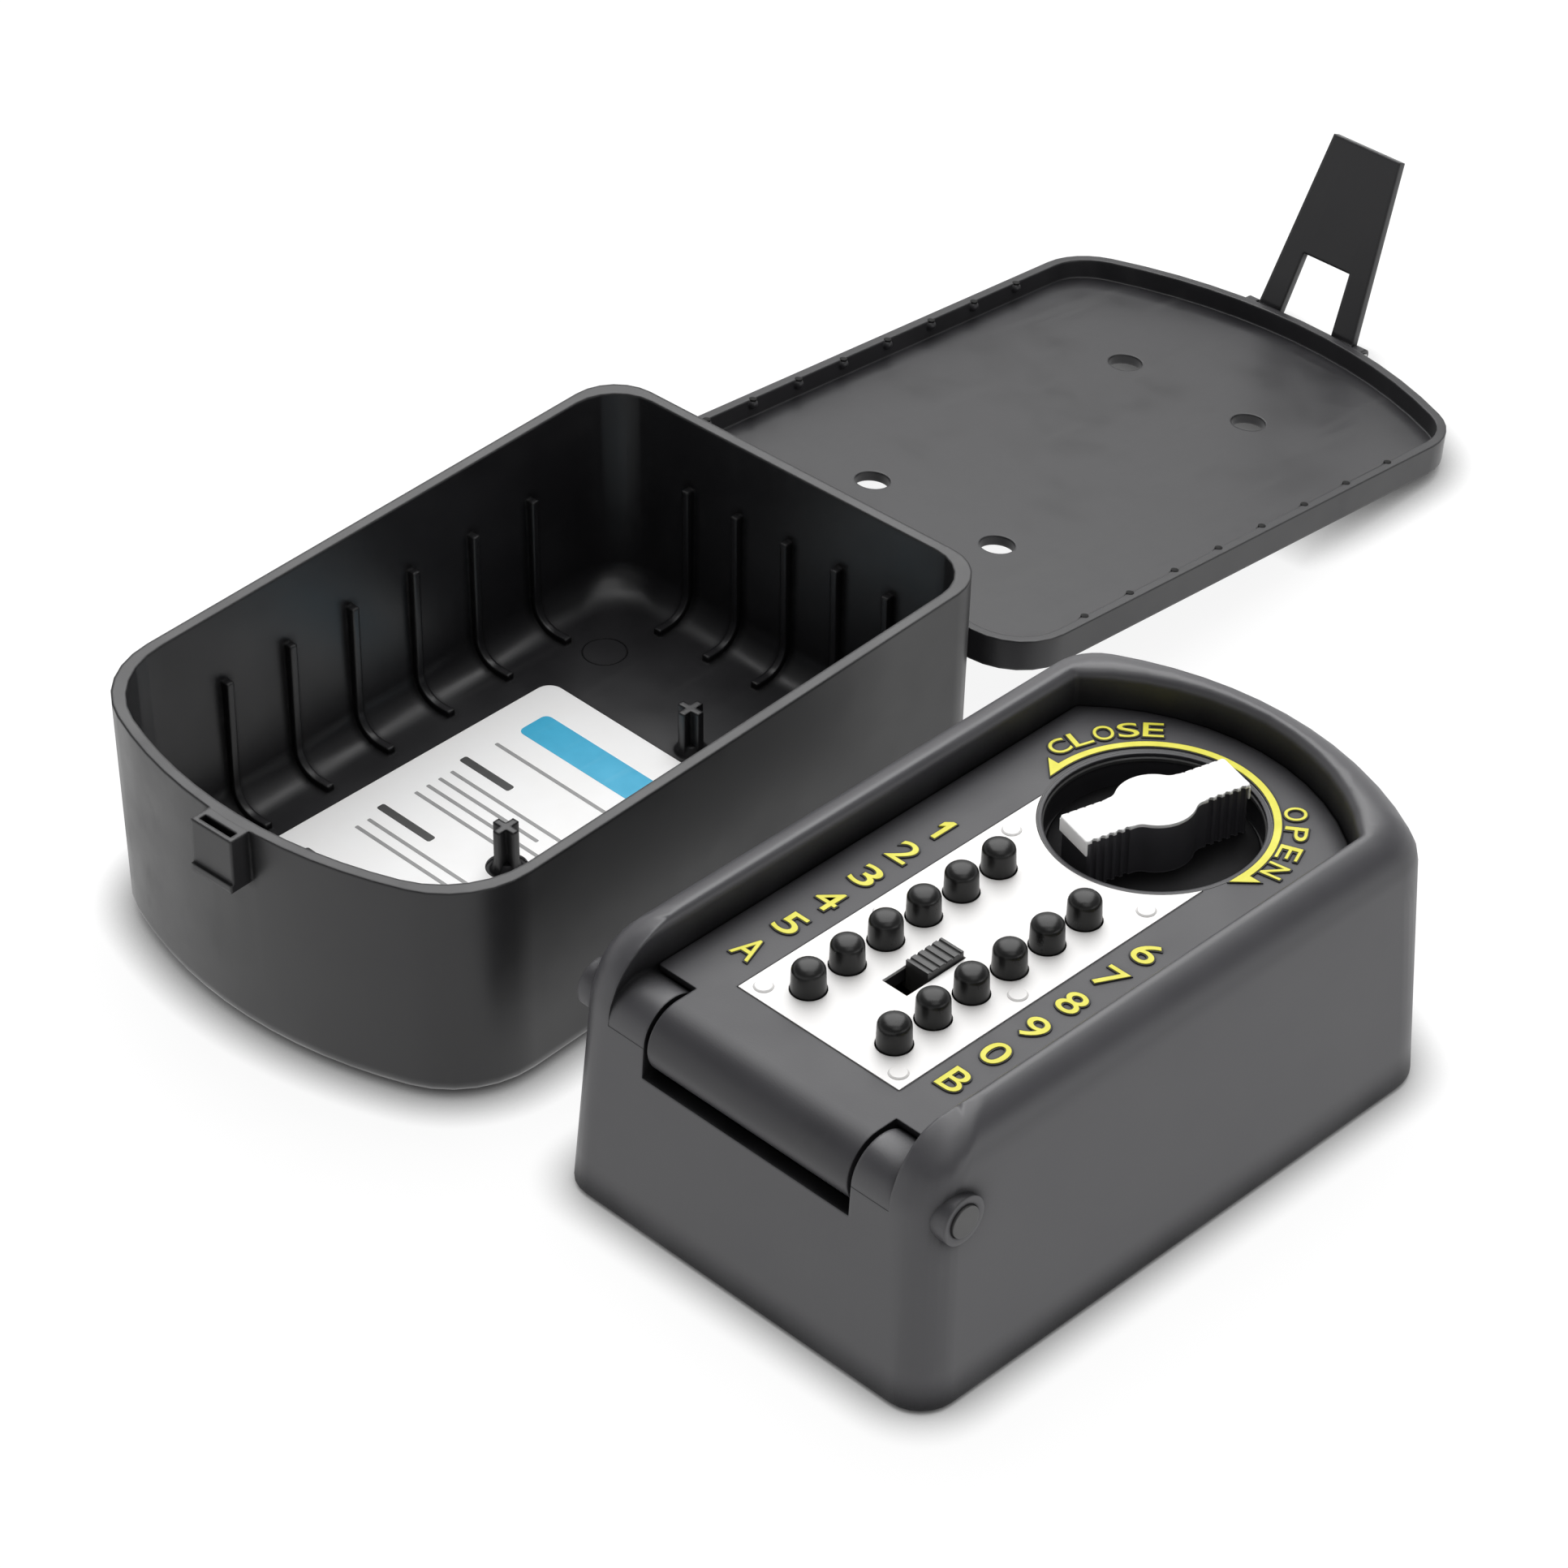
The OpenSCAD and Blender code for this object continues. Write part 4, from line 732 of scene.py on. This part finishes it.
@dataclass
class DoorFace:
    """The door, the lock works behind it, and the ring and painted marks on its face."""

    place: Placing
    ring_inner: float = 18.55 * MM
    ring_outer: float = 19.7 * MM
    ring_drop: float = 0.9 * MM
    ring_proud: float = 0.04 * MM
    ring_foot: float = 0.6 * MM
    ring_wall: float = 0.3 * MM
    ring_seat: float = 0.02 * MM
    ring_land: float = 0.2 * MM
    ring_round: Point = (0.15 * MM, 0.1 * MM)
    ring_steps: int = 96
    mark_lift: float = 0.32 * MM
    mark_sink: float = 0.05 * MM
    digit_height: float = 5.5 * MM
    digit_width: float = 4.3 * MM
    left_x: float = -23.3 * MM
    right_x: float = 22.7 * MM
    rows: tuple[float, ...] = (71.5 * MM, 62.6 * MM, 53.7 * MM, 44.8 * MM, 35.9 * MM, 26.6 * MM)
    word_radius: float = 24.4 * MM
    word_height: float = 3.9 * MM
    word_width: float = 3.6 * MM
    word_shift: float = -1.0 * MM
    bold: float = 0.004
    mark_edge: float = 0.22 * MM
    one: tuple[Point, ...] = ((0.50, 0.0), (0.92, 0.0), (0.92, 1.0), (0.58, 1.0), (0.08, 0.80),
                              (0.08, 0.54), (0.50, 0.70))
    one_width: float = 0.52
    close_ends: Point = (171.5, 130.8)
    open_ends: Point = (47.5, 9.5)
    band_inner: float = 20.2 * MM
    band_outer: float = 21.5 * MM
    band_ends: Point = (0.0, 180.0)
    band_shift: float = -0.4 * MM
    band_steps: int = 60
    arrow_half: float = 3.0 * MM
    arrow_length: float = 3.6 * MM
    tip_radius: float = 20.4 * MM
    looks: dict[str, Look] = field(default_factory=lambda: {
        "door": Look.DOOR_FACE, "keypad_plate": Look.WHITE_PLATE, "keypad_rivets": Look.RIVET,
        "lock_case": Look.ZINC, "lock_cover": Look.STEEL, "case_screws": Look.STEEL,
        "spring_mat": Look.RUBBER, "code_bar": Look.BRASS, "bolt_guide": Look.ZINC,
        "key_hooks": Look.STEEL})

    def build(self, paint: Paintbox) -> None:
        """Dresses the door's nodes and adds the ring and the marks.

        Args:
            paint: the finishes.
        """
        for name, look in self.looks.items():
            paint.dress_node(name, look)
        paint.add_piece(self._ring(), Look.WELL_EDGE, "door", "body")
        # Each mark sits on a wider, lower dark copy, its bare sides and painted shade round it.
        for look, tail, grow in ((Look.MARKS, "", 0.0), (Look.MARK_EDGE_SHADE, "_edge", self.mark_edge)):
            for piece in (self._column("marks_left" + tail, "12345A", self.left_x, grow),
                          self._column("marks_right" + tail, "67890B", self.right_x, grow),
                          self._word("mark_close" + tail, "CLOSE", self.close_ends, grow),
                          self._word("mark_open" + tail, "OPEN", self.open_ends, grow),
                          self._turn_arrow("mark_turn_arrow" + tail, grow)):
                slot = "mark_paint" if look is Look.MARKS else "body"
                paint.add_piece(piece, look, "door", slot)

    def _ring(self) -> bpy.types.Object:
        """Builds the bevelled edge of the knob's well.

        Returns:
            The ring.
        """
        work = bmesh.new()
        inner, outer, face = self.ring_inner, self.ring_outer, self.place.face_z
        top = face + self.ring_proud
        low = face - self.ring_drop
        foot = low - self.ring_foot
        profile = [(inner, low), (inner, foot), (inner + self.ring_wall, foot),
                   (outer, face - self.ring_seat), (outer, top), (outer - self.ring_land, top),
                   (inner + self.ring_round[0], low + self.ring_round[1]), (inner, low)]
        add_lathe(work, profile, self.place.knob(), self.ring_steps)
        return finish_mesh("well_edge", work, weld=True)

    def _lift(self, grow: float) -> float:
        """Gives a mark's height above the face, which is lower for its dark edge."""
        return self.mark_lift - 0.6 * grow

    def _add_letter(self, work: bmesh.types.BMesh, letter: str, place: Matrix, size: Point,
                    grow: float) -> None:
        """Adds one raised character with its middle at a place.

        Args:
            work: the mesh that it is added to.
            letter: the character.
            place: the character's frame, with its top along Y.
            size: its width and height.
            grow: how much wider it is all round.
        """
        width, height = size[0] + 2 * grow, size[1] + 2 * grow
        lift = self._lift(grow)
        if letter == "1":
            narrow = self.one_width * size[0] + 2 * grow
            outline = [((x - 0.5) * narrow, (y - 0.5) * height) for x, y in self.one]
            add_slab(work, outline, -self.mark_sink, lift, place)
            return
        drawn = bpy.data.curves.new("letter", "FONT")
        drawn.body = letter
        drawn.offset = self.bold + grow / size[1] * 0.7
        drawn.extrude = 0.05
        drawn.resolution_u = 6
        holder = bpy.data.objects.new("letter", drawn)
        bpy.context.scene.collection.objects.link(holder)
        graph = bpy.context.evaluated_depsgraph_get()
        shape = bpy.data.meshes.new_from_object(holder.evaluated_get(graph))
        bpy.data.objects.remove(holder)
        bpy.data.curves.remove(drawn)
        low = Vector([min(v.co[k] for v in shape.vertices) for k in range(3)])
        high = Vector([max(v.co[k] for v in shape.vertices) for k in range(3)])
        scale = Matrix.Diagonal((width / (high.x - low.x), height / (high.y - low.y),
                                 (lift + self.mark_sink) / (high.z - low.z), 1.0))
        middle = Matrix.Translation(-Vector(((low.x + high.x) / 2, (low.y + high.y) / 2, low.z)))
        sunk = Matrix.Translation((0, 0, -self.mark_sink))
        shape.transform(place @ sunk @ scale @ middle)
        work.from_mesh(shape)
        bpy.data.meshes.remove(shape)

    def _column(self, name: str, letters: str, x: float, grow: float) -> bpy.types.Object:
        """Builds the characters beside one row of buttons.

        Args:
            name: the piece's name.
            letters: the characters, from the knob end.
            x: the column's place across the door.
            grow: how much wider the characters are all round.

        Returns:
            The piece.
        """
        work = bmesh.new()
        for letter, y in zip(letters, self.rows):
            spot = Matrix.Translation((x, self.place.hinge_end + y, self.place.face_z))
            self._add_letter(work, letter, spot, (self.digit_width, self.digit_height), grow)
        return finish_mesh(name, work, weld=True)

    def _word(self, name: str, letters: str, ends: Point, grow: float) -> bpy.types.Object:
        """Builds a word round the knob, its letters' tops outward.

        Args:
            name: the piece's name.
            letters: the word.
            ends: angles of the first and the last letter in degrees.
            grow: how much wider the letters are all round.

        Returns:
            The piece.
        """
        work = bmesh.new()
        for i, letter in enumerate(letters):
            angle = math.radians(ends[0] + (ends[1] - ends[0]) * i / (len(letters) - 1))
            spot = (Matrix.Translation(self.place.knob_face(self.word_shift))
                    @ Matrix.Rotation(angle - math.pi / 2, 4, "Z")
                    @ Matrix.Translation((0, self.word_radius, 0)))
            self._add_letter(work, letter, spot, (self.word_width, self.word_height), grow)
        return finish_mesh(name, work, weld=True)

    def _turn_arrow(self, name: str, grow: float) -> bpy.types.Object:
        """Builds the band round the knob with an arrowhead at each end.

        Args:
            name: the piece's name.
            grow: how much wider the band is all round.

        Returns:
            The piece.
        """
        middle = (self.band_inner + self.band_outer) / 2
        barb = middle + self.arrow_half + 1.6 * grow
        tip = self.tip_radius - 0.6 * grow
        first, last = self.band_ends
        back = math.degrees(grow / middle)
        ahead = math.degrees((self.arrow_length + 1.8 * grow) / middle)
        outline = []
        for radius, start, end, steps in ((self.band_outer + grow, first, last, self.band_steps),
                                          (barb, last - back, last - back, 0),
                                          (tip, last + ahead, last + ahead, 0),
                                          (self.band_inner - grow, last, first, self.band_steps),
                                          (tip, first - ahead, first - ahead, 0),
                                          (barb, first + back, first + back, 0)):
            outline += arc((0, 0), radius, start, end, steps)
        work = bmesh.new()
        spot = Matrix.Translation(self.place.knob_face(self.band_shift))
        add_slab(work, outline, -self.mark_sink, self._lift(grow), spot)
        return finish_mesh(name, work)


@dataclass
class Keypad:
    """The twelve buttons and the reset slider."""

    place: Placing
    letters: str = "12345A67890B"
    per_row: int = 6
    row_x: float = 9.6 * MM
    row_near: float = 26.28 * MM
    row_pitch: float = 8.89 * MM
    radius: float = 2.889 * MM
    wall_height: float = 3.7 * MM
    dome_height: float = 1.8 * MM
    fullness: float = 0.84
    dome_steps: int = 12
    foot: float = 0.1 * MM
    foot_rise: Point = (0.05 * MM, 0.3 * MM)
    collar_radius: float = 3.7 * MM
    collar_top: float = 40.65 * MM
    collar_drop: float = 1.2 * MM
    stem_radius: float = 2.0 * MM
    stem_low: float = 36.4 * MM
    stem_bevel: float = 0.2 * MM
    steps: int = 40

    def build(self, paint: Paintbox) -> None:
        """Builds the buttons and dresses the slider.

        Args:
            paint: the finishes.
        """
        for i, letter in enumerate(self.letters):
            side = -1 if i < self.per_row else 1
            row = self.per_row - 1 - i % self.per_row
            name = f"button_{letter.lower()}"
            cap = self._button(f"cap_{letter.lower()}", side, row)
            paint.add_piece(cap, Look.BUTTON, name, "black_plastic", name)
        paint.dress_node("reset_slider", Look.SLIDER)

    def _button(self, name: str, side: int, row: int) -> bpy.types.Object:
        """Builds one button with its dome, its collar and its stem.

        Args:
            name: the piece's name.
            side: -1 for the left row and 1 for the right row.
            row: its place in the row, from the hinge end.

        Returns:
            The button.
        """
        pad = self.place.pad_z
        dome = pad + self.wall_height
        low = self.collar_top - self.collar_drop
        profile = [(0.0, self.stem_low), (self.stem_radius - self.stem_bevel, self.stem_low),
                   (self.stem_radius, self.stem_low + self.stem_bevel), (self.stem_radius, low),
                   (self.collar_radius, low), (self.collar_radius, self.collar_top),
                   (self.radius, self.collar_top), (self.radius, pad)]
        profile += [(self.radius + self.foot, pad + rise) for rise in self.foot_rise]
        for i in range(self.dome_steps + 1):
            angle = math.radians(90 * i / self.dome_steps)
            profile.append((self.radius * math.cos(angle) ** self.fullness,
                            dome + self.dome_height * math.sin(angle) ** self.fullness))
        profile[-1] = (0.0, profile[-1][1])
        work = bmesh.new()
        along = self.place.hinge_end + self.row_near + row * self.row_pitch
        add_lathe(work, profile, Vector((side * self.row_x, along, 0)), self.steps)
        return finish_mesh(name, work)


@dataclass
class TurnKnob:
    """The knob, its light top, and the works that it drives."""

    place: Placing
    half_length: float = 16.2 * MM
    half_width: float = 4.25 * MM
    middle_radius: float = 7 * MM
    blend_radius: float = 2.6 * MM
    flute: float = 0.5 * MM
    flute_first: float = 1.6 * MM
    flute_pitch: float = 1.6 * MM
    flutes: int = 5
    corner: float = 0.4 * MM
    base_low: float = 37.7 * MM
    base_high: float = 38.7 * MM
    base_radius: float = 18.1 * MM
    base_bevel: float = 0.3 * MM
    base_steps: int = 72
    top_low: float = 48.0 * MM
    top_high: float = 48.6 * MM
    top_round: float = 0.22 * MM
    tab_height: float = 3.0 * MM
    tab_depth: float = 0.4 * MM
    tab_inset: float = 0.05 * MM
    tab_corner: float = 0.15 * MM
    tab_seam: float = 0.002 * MM
    turn: float = math.radians(-15.5)
    bore: float = 3.05 * MM
    bore_top: float = 43.8 * MM
    looks: dict[str, Look] = field(default_factory=lambda: {
        "spindle": Look.STEEL, "pinion": Look.BRASS, "spindle_clip": Look.STEEL,
        "bolt": Look.STEEL})

    def build(self, paint: Paintbox) -> None:
        """Builds the knob and its top, and dresses the works.

        Args:
            paint: the finishes.
        """
        grip = self._grip()
        paint.add_piece(grip, Look.KNOB, "knob", "black_plastic", "knob")
        # The base disc takes a darker copy of the knob plastic, as painted shade in the well.
        grip.data.materials.append(paint.material(Look.KNOB_BASE_SHADED))
        for face in grip.data.polygons:
            face.material_index = int(face.center.z < self.base_high + 0.1 * MM)
        paint.add_piece(self._top(), Look.KNOB_TOP, "knob", "white_plastic", "knob_cap")
        for name, look in self.looks.items():
            paint.dress_node(name, look)

    def _outline(self, end_cut: float) -> list[Point]:
        """Gives the grip's plan: fluted bars that blend into a round middle.

        Args:
            end_cut: how much shorter each bar is.

        Returns:
            The points, in order.
        """
        w, f, r = self.half_width, self.blend_radius, self.middle_radius
        reach = self.half_length - end_cut
        blend_y = math.sqrt((r + f) ** 2 - (w + f) ** 2)
        meet = math.degrees(math.atan2(blend_y, w + f))
        side = [(w - self.corner, reach), (w, reach - self.corner)]
        for i in range(self.flutes):
            y = self.half_length - self.flute_first - i * self.flute_pitch
            side += arc((w, y), self.flute, 90, 270, 6)
        side += arc((w + f, blend_y), f, 180, 180 + meet, 8)
        side += arc((0, 0), r, meet, 0, 8)[1:]
        lower = [(x, -y) for x, y in side[-2::-1]]
        right = side + lower
        return right + [(-x, -y) for x, y in right]

    def _spot(self) -> Matrix:
        """Gives the knob's frame at rest."""
        return Matrix.Translation(self.place.knob()) @ Matrix.Rotation(self.turn, 4, "Z")

    def _grip(self) -> bpy.types.Object:
        """Builds the black grip on its base disc, bored for the spindle.

        Returns:
            The grip.
        """
        work = bmesh.new()
        spot = self._spot()
        outline = self._outline(self.tab_depth)
        count = len(outline)
        sides = []
        for height in (self.base_high, self.top_low):
            sides.append([work.verts.new(spot @ Vector((x, y, height))) for x, y in outline])
        work.faces.new(sides[1])
        for i in range(count):
            j = (i + 1) % count
            work.faces.new([sides[0][i], sides[0][j], sides[1][j], sides[1][i]])
        work.edges.ensure_lookup_table()
        inner = [work.edges.get((sides[0][i], sides[0][(i + 1) % count])) for i in range(count)]
        steps = self.base_steps
        rings = []
        for radius, height in ((self.base_radius - self.base_bevel, self.base_high),
                               (self.base_radius, self.base_high - self.base_bevel),
                               (self.base_radius, self.base_low), (self.bore, self.base_low),
                               (self.bore, self.bore_top)):
            rings.append([work.verts.new(spot @ point)
                          for point in ring_points(radius, height, steps)])
        join_rings(work, rings, steps)
        work.faces.new(rings[-1])
        rim = [work.edges.get((rings[0][i], rings[0][(i + 1) % steps])) for i in range(steps)]
        bmesh.ops.triangle_fill(work, use_beauty=True, use_dissolve=False, edges=inner + rim)
        return finish_mesh("knob_grip", work)

    def _top(self) -> bpy.types.Object:
        """Builds the light top with a tab down each end.

        Returns:
            The top.
        """
        work = bmesh.new()
        spot = self._spot()
        add_slab(work, self._outline(0.0), self.top_low, self.top_high, spot, self.top_round)
        side = self.half_width - self.tab_inset
        for way in (-1, 1):
            low = way * (self.half_length - self.tab_depth)
            high = way * self.half_length
            tab = round_box((-side, min(low, high)), (side, max(low, high)), self.tab_corner)
            add_slab(work, tab, self.top_high - self.tab_height, self.top_low - self.tab_seam, spot)
        return finish_mesh("knob_top", work)


@dataclass
class WeatherCover:
    """The open weather cover: tub, plate, strap and card."""

    place: Placing
    card_x: float = -28.7 * MM
    card_y: float = -36.3 * MM
    card_turn: float = math.radians(-2.6)
    card_top: float = 2.7 * MM
    ink: float = 0.03 * MM
    ink_sink: float = 0.01 * MM
    bands: tuple[Box, ...] = ((7, -14.6, 46, -7.4),)
    heads: tuple[Box, ...] = ((6, -28.2, 19, -26.4), (6, -48.2, 20, -46.4), (6, -66.2, 24, -64.4))
    rule: Box = (7, -20.4, 46, -19.6)
    line_left: float = 7.5
    line_pitch: float = 2.9
    line_height: float = 0.8
    line_groups: tuple[tuple[float, tuple[float, ...]], ...] = (
        (-31.0, (29, 26, 33, 24)), (-51.0, (27, 38)), (-69.0, (38, 35, 24)))
    floor_z: float = 2.2 * MM
    mould_spots: tuple[Point, ...] = ((-28.2 * MM, -22.3 * MM), (29 * MM, -22.3 * MM),
                                      (-30 * MM, -112 * MM), (30 * MM, -112 * MM))
    mould_radius: float = 4.2 * MM
    mould_lip: float = 0.12 * MM
    mould_sink: float = 0.05 * MM
    plate_gap: float = 5 * MM
    plate_z: float = 18.6 * MM
    plate_tilt: float = math.radians(7.3)
    lip_x: float = 47 * MM
    lip_height: float = 6 * MM
    pips: int = 8
    pip_first: float = 20 * MM
    pip_pitch: float = 13.1 * MM
    pip_radius: float = 0.75 * MM
    pip_lift: float = 0.2 * MM
    pip_sink: float = 0.4 * MM
    looks: dict[str, Look] = field(default_factory=lambda: {
        "cover_shell": Look.COVER, "cover_hinge_pin": Look.STEEL, "instruction_card": Look.CARD,
        "cover_plate": Look.PLATE, "strap_pin": Look.STEEL, "cover_strap": Look.COVER})

    def build(self, paint: Paintbox) -> None:
        """Dresses the nodes and adds the card's print, the mould marks and the pips' tops in
        painted shade.

        Args:
            paint: the finishes.
        """
        for name, look in self.looks.items():
            paint.dress_node(name, look)
        for name, boxes, radius, look in (("card_band", self.bands, 1.4, Look.BLUE_INK),
                                          ("card_heads", self.heads, 0.5, Look.DARK_INK),
                                          ("card_lines", self._lines(), 0.25, Look.GREY_INK)):
            paint.add_piece(self._print(name, boxes, radius), look, "cover", "card_ink")
        paint.add_piece(self._mould_marks(), Look.COVER, "cover", "cover_plastic")
        paint.add_piece(self._pip_tops(), Look.PIP_SHADE, "plate", "cover_plastic")

    def _lines(self) -> tuple[Box, ...]:
        """Works out the card's rule and its groups of thin lines.

        Returns:
            The boxes, in millimetres on the card.
        """
        lines = [self.rule]
        for top, lengths in self.line_groups:
            for i, length in enumerate(lengths):
                far = top - self.line_pitch * i
                lines.append((self.line_left, far - self.line_height, self.line_left + length, far))
        return tuple(lines)

    def _print(self, name: str, boxes: tuple[Box, ...], radius: float) -> bpy.types.Object:
        """Builds printed bars on the card.

        Args:
            name: the piece's name.
            boxes: left, near, right and far of each bar on the card, in millimetres.
            radius: the bars' corner radius in millimetres.

        Returns:
            The piece.
        """
        work = bmesh.new()
        spot = (self.place.cover() @ Matrix.Translation((self.card_x, self.card_y, self.card_top))
                @ Matrix.Rotation(self.card_turn, 4, "Z"))
        for left, near, right, far in boxes:
            outline = round_box((left * MM, near * MM), (right * MM, far * MM), radius * MM)
            add_slab(work, outline, -self.ink_sink, self.ink, spot)
        return finish_mesh(name, work)

    def _mould_marks(self) -> bpy.types.Object:
        """Builds the round marks that a mould's pins leave on the floor.

        Returns:
            The piece.
        """
        work = bmesh.new()
        for x, y in self.mould_spots:
            centre = self.place.cover() @ Vector((x, y, self.floor_z))
            r, lip, sink = self.mould_radius, self.mould_lip, self.mould_sink
            add_lathe(work, [(r - lip, -sink), (r - lip, lip * 0.6), (r, lip), (r + lip, lip * 0.6),
                             (r + lip, -sink), (r - lip, -sink)], centre)
        return finish_mesh("mould_marks", work, weld=True)

    def _pip_tops(self) -> bpy.types.Object:
        """Builds the tops of the pips along the plate's two side lips, dark as painted shade.

        Returns:
            The piece.
        """
        work = bmesh.new()
        r, lift, sink = self.pip_radius, self.pip_lift, self.pip_sink
        profile = [(0.0, -sink), (r, -sink), (r, 0.3 * lift), (0.6 * r, 0.9 * lift), (0.0, lift)]
        for side in (-1, 1):
            for i in range(self.pips):
                along = self.pip_first + i * self.pip_pitch
                add_lathe(work, profile, Vector((side * self.lip_x, along, self.lip_height)), 16)
        spot = (self.place.cover() @ Matrix.Translation((0, self.plate_gap, self.plate_z))
                @ Matrix.Rotation(-self.plate_tilt, 4, "X"))
        bmesh.ops.transform(work, matrix=spot, verts=work.verts[:])
        return finish_mesh("pip_tops", work)


@dataclass
class Lamp:
    """A soft panel light."""

    name: str
    at: tuple[float, float, float]
    width: float
    height: float
    level: float

    def build(self, target: Vector) -> None:
        """Adds the panel, turned to a target.

        Args:
            target: what the panel faces.
        """
        data = bpy.data.lights.new(self.name, "AREA")
        data.shape = "RECTANGLE"
        data.size = self.width
        data.size_y = self.height
        data.energy = self.level * math.pi * self.width * self.height
        panel = bpy.data.objects.new(self.name, data)
        panel.location = self.at
        panel.rotation_euler = (target - Vector(self.at)).to_track_quat("-Z", "Y").to_euler()
        bpy.context.scene.collection.objects.link(panel)


@dataclass
class Studio:
    """The camera, the soft panels, the pale floor and the world."""

    lens: float = 130.571
    yaw: float = 0.782621283
    pitch: float = 0.654269066
    roll: float = -0.00584138
    eye: tuple[float, float, float] = (0.484362, -0.542024, 0.625951)
    middle: tuple[float, float, float] = (-0.06, 0.03, 0.02)
    floor_size: float = 6.0
    floor_z: float = -0.2 * MM
    floor_colour: Point = (0.85, 0.14)
    floor_lift: float = 0.90
    # Reach and strength of the floor's painted contact shadow.
    floor_shade: float = 8 * MM
    floor_depth: float = 1.6
    world_level: float = 0.2
    backdrop: Point = (0.45, 0.15)
    lamps: tuple[Lamp, ...] = (
        Lamp("key_panel", (-0.44, 0.42, 0.94), 1.0, 1.4, 3.6),
        Lamp("right_fill", (1.2, 0.3, 0.3), 0.8, 0.4, 1.5),
        Lamp("top_fill", (0.5, -0.2, 1.3), 0.8, 0.8, 1.4))

    def build(self) -> None:
        """Sets the view, the lights, the floor and the world."""
        scene = bpy.context.scene
        scene.view_settings.view_transform = "Standard"
        self._camera(scene)
        for lamp in self.lamps:
            lamp.build(Vector(self.middle))
        self._floor()
        scene.world = self._world()

    def _camera(self, scene: bpy.types.Scene) -> None:
        """Adds the camera at the fitted place.

        Args:
            scene: the scene that it is the camera of.
        """
        ahead = Vector((-math.sin(self.yaw) * math.cos(self.pitch),
                        math.cos(self.yaw) * math.cos(self.pitch), -math.sin(self.pitch)))
        level = Vector((math.cos(self.yaw), math.sin(self.yaw), 0))
        below = ahead.cross(level)
        across = math.cos(self.roll) * level + math.sin(self.roll) * below
        down = math.cos(self.roll) * below - math.sin(self.roll) * level
        data = bpy.data.cameras.new("camera")
        data.lens = self.lens
        data.sensor_width = 36.0
        data.clip_start = 0.01
        camera = bpy.data.objects.new("camera", data)
        turn = Matrix((across, -down, -ahead)).transposed().to_4x4()
        camera.matrix_world = Matrix.Translation(self.eye) @ turn
        scene.collection.objects.link(camera)
        scene.camera = camera

    def _world(self) -> bpy.types.World:
        """Makes an even sky over a white backdrop, which only views and reflections show.

        Returns:
            The world.
        """
        world = bpy.data.worlds.new("studio")
        world.use_nodes = True
        tree = Tree(world.node_tree)
        seen, glanced = self._rays(tree)
        shown = tree.math("MAXIMUM", seen, glanced)
        way = tree.node("ShaderNodeTexCoord").outputs["Generated"]
        height = tree.node("ShaderNodeSeparateXYZ", Vector=way).outputs["Z"]
        low = tree.spread(height, self.backdrop, (0.0, 1.0))
        sky = world.node_tree.nodes["Background"]
        sky.inputs["Color"].default_value = (1.0, 1.0, 1.0, 1.0)
        level = tree.spread(tree.math("MULTIPLY", shown, low), (0.0, 1.0), (self.world_level, 1.0))
        tree.feed(sky.inputs["Strength"], level)
        return world

    @staticmethod
    def _rays(tree: Tree) -> tuple[bpy.types.NodeSocket, bpy.types.NodeSocket]:
        """Tells rays of the view and rays of a reflection from the others.

        Args:
            tree: the node tree that asks.

        Returns:
            The sockets that are 1 for a view's ray, and for a reflected or passed one.
        """
        path = tree.node("ShaderNodeLightPath").outputs
        glanced = tree.math("MAXIMUM", path["Is Glossy Ray"], path["Is Transmission Ray"])
        return path["Is Camera Ray"], glanced

    def _floor(self) -> None:
        """Adds the pale floor, which keeps soft lamp shadows and a painted contact shadow round the
        object's foot.
        """
        work = bmesh.new()
        half = self.floor_size / 2
        work.faces.new([work.verts.new((x * half, y * half, self.floor_z))
                        for x, y in ((-1, -1), (1, -1), (1, 1), (-1, 1))])
        floor = finish_mesh("floor", work)
        made, tree, out = empty_material("pale_floor")
        seen, glanced = self._rays(tree)
        shown = tree.math("MAXIMUM", seen, glanced)
        lit, viewed = (grey(level) for level in self.floor_colour)
        matt = tree.node("ShaderNodeBsdfDiffuse", Color=tree.mix(shown, lit, viewed))
        # Painted shadow: the floor's glow for the view drops with occlusion near the object.
        near = tree.node("ShaderNodeAmbientOcclusion", {"samples": 12}, Distance=self.floor_shade)
        painted_contact_shadow = tree.math("POWER", near.outputs["AO"], self.floor_depth)
        lift = tree.math("MAXIMUM", tree.math("MULTIPLY", seen, painted_contact_shadow), glanced)
        glow = tree.node("ShaderNodeEmission", Color=(1.0, 1.0, 1.0, 1.0),
                         Strength=tree.math("MULTIPLY", lift, self.floor_lift))
        both = tree.node("ShaderNodeAddShader")
        tree.feed(both.inputs[0], matt.outputs[0])
        tree.feed(both.inputs[1], glow.outputs[0])
        tree.feed(out.inputs["Surface"], both.outputs[0])
        floor.data.materials.append(made)


def main() -> None:
    """Builds the sub-assemblies in order and then the studio."""
    logging.basicConfig(level=logging.INFO, format="%(name)s: %(message)s")
    place = Placing()
    paint = Paintbox()
    for part in (SafeBody(), DoorFace(place), Keypad(place), TurnKnob(place), WeatherCover(place)):
        part.build(paint)
        LOG.info("finished %s", type(part).__name__)
    Studio().build()


if __name__ == "__main__":
    main()
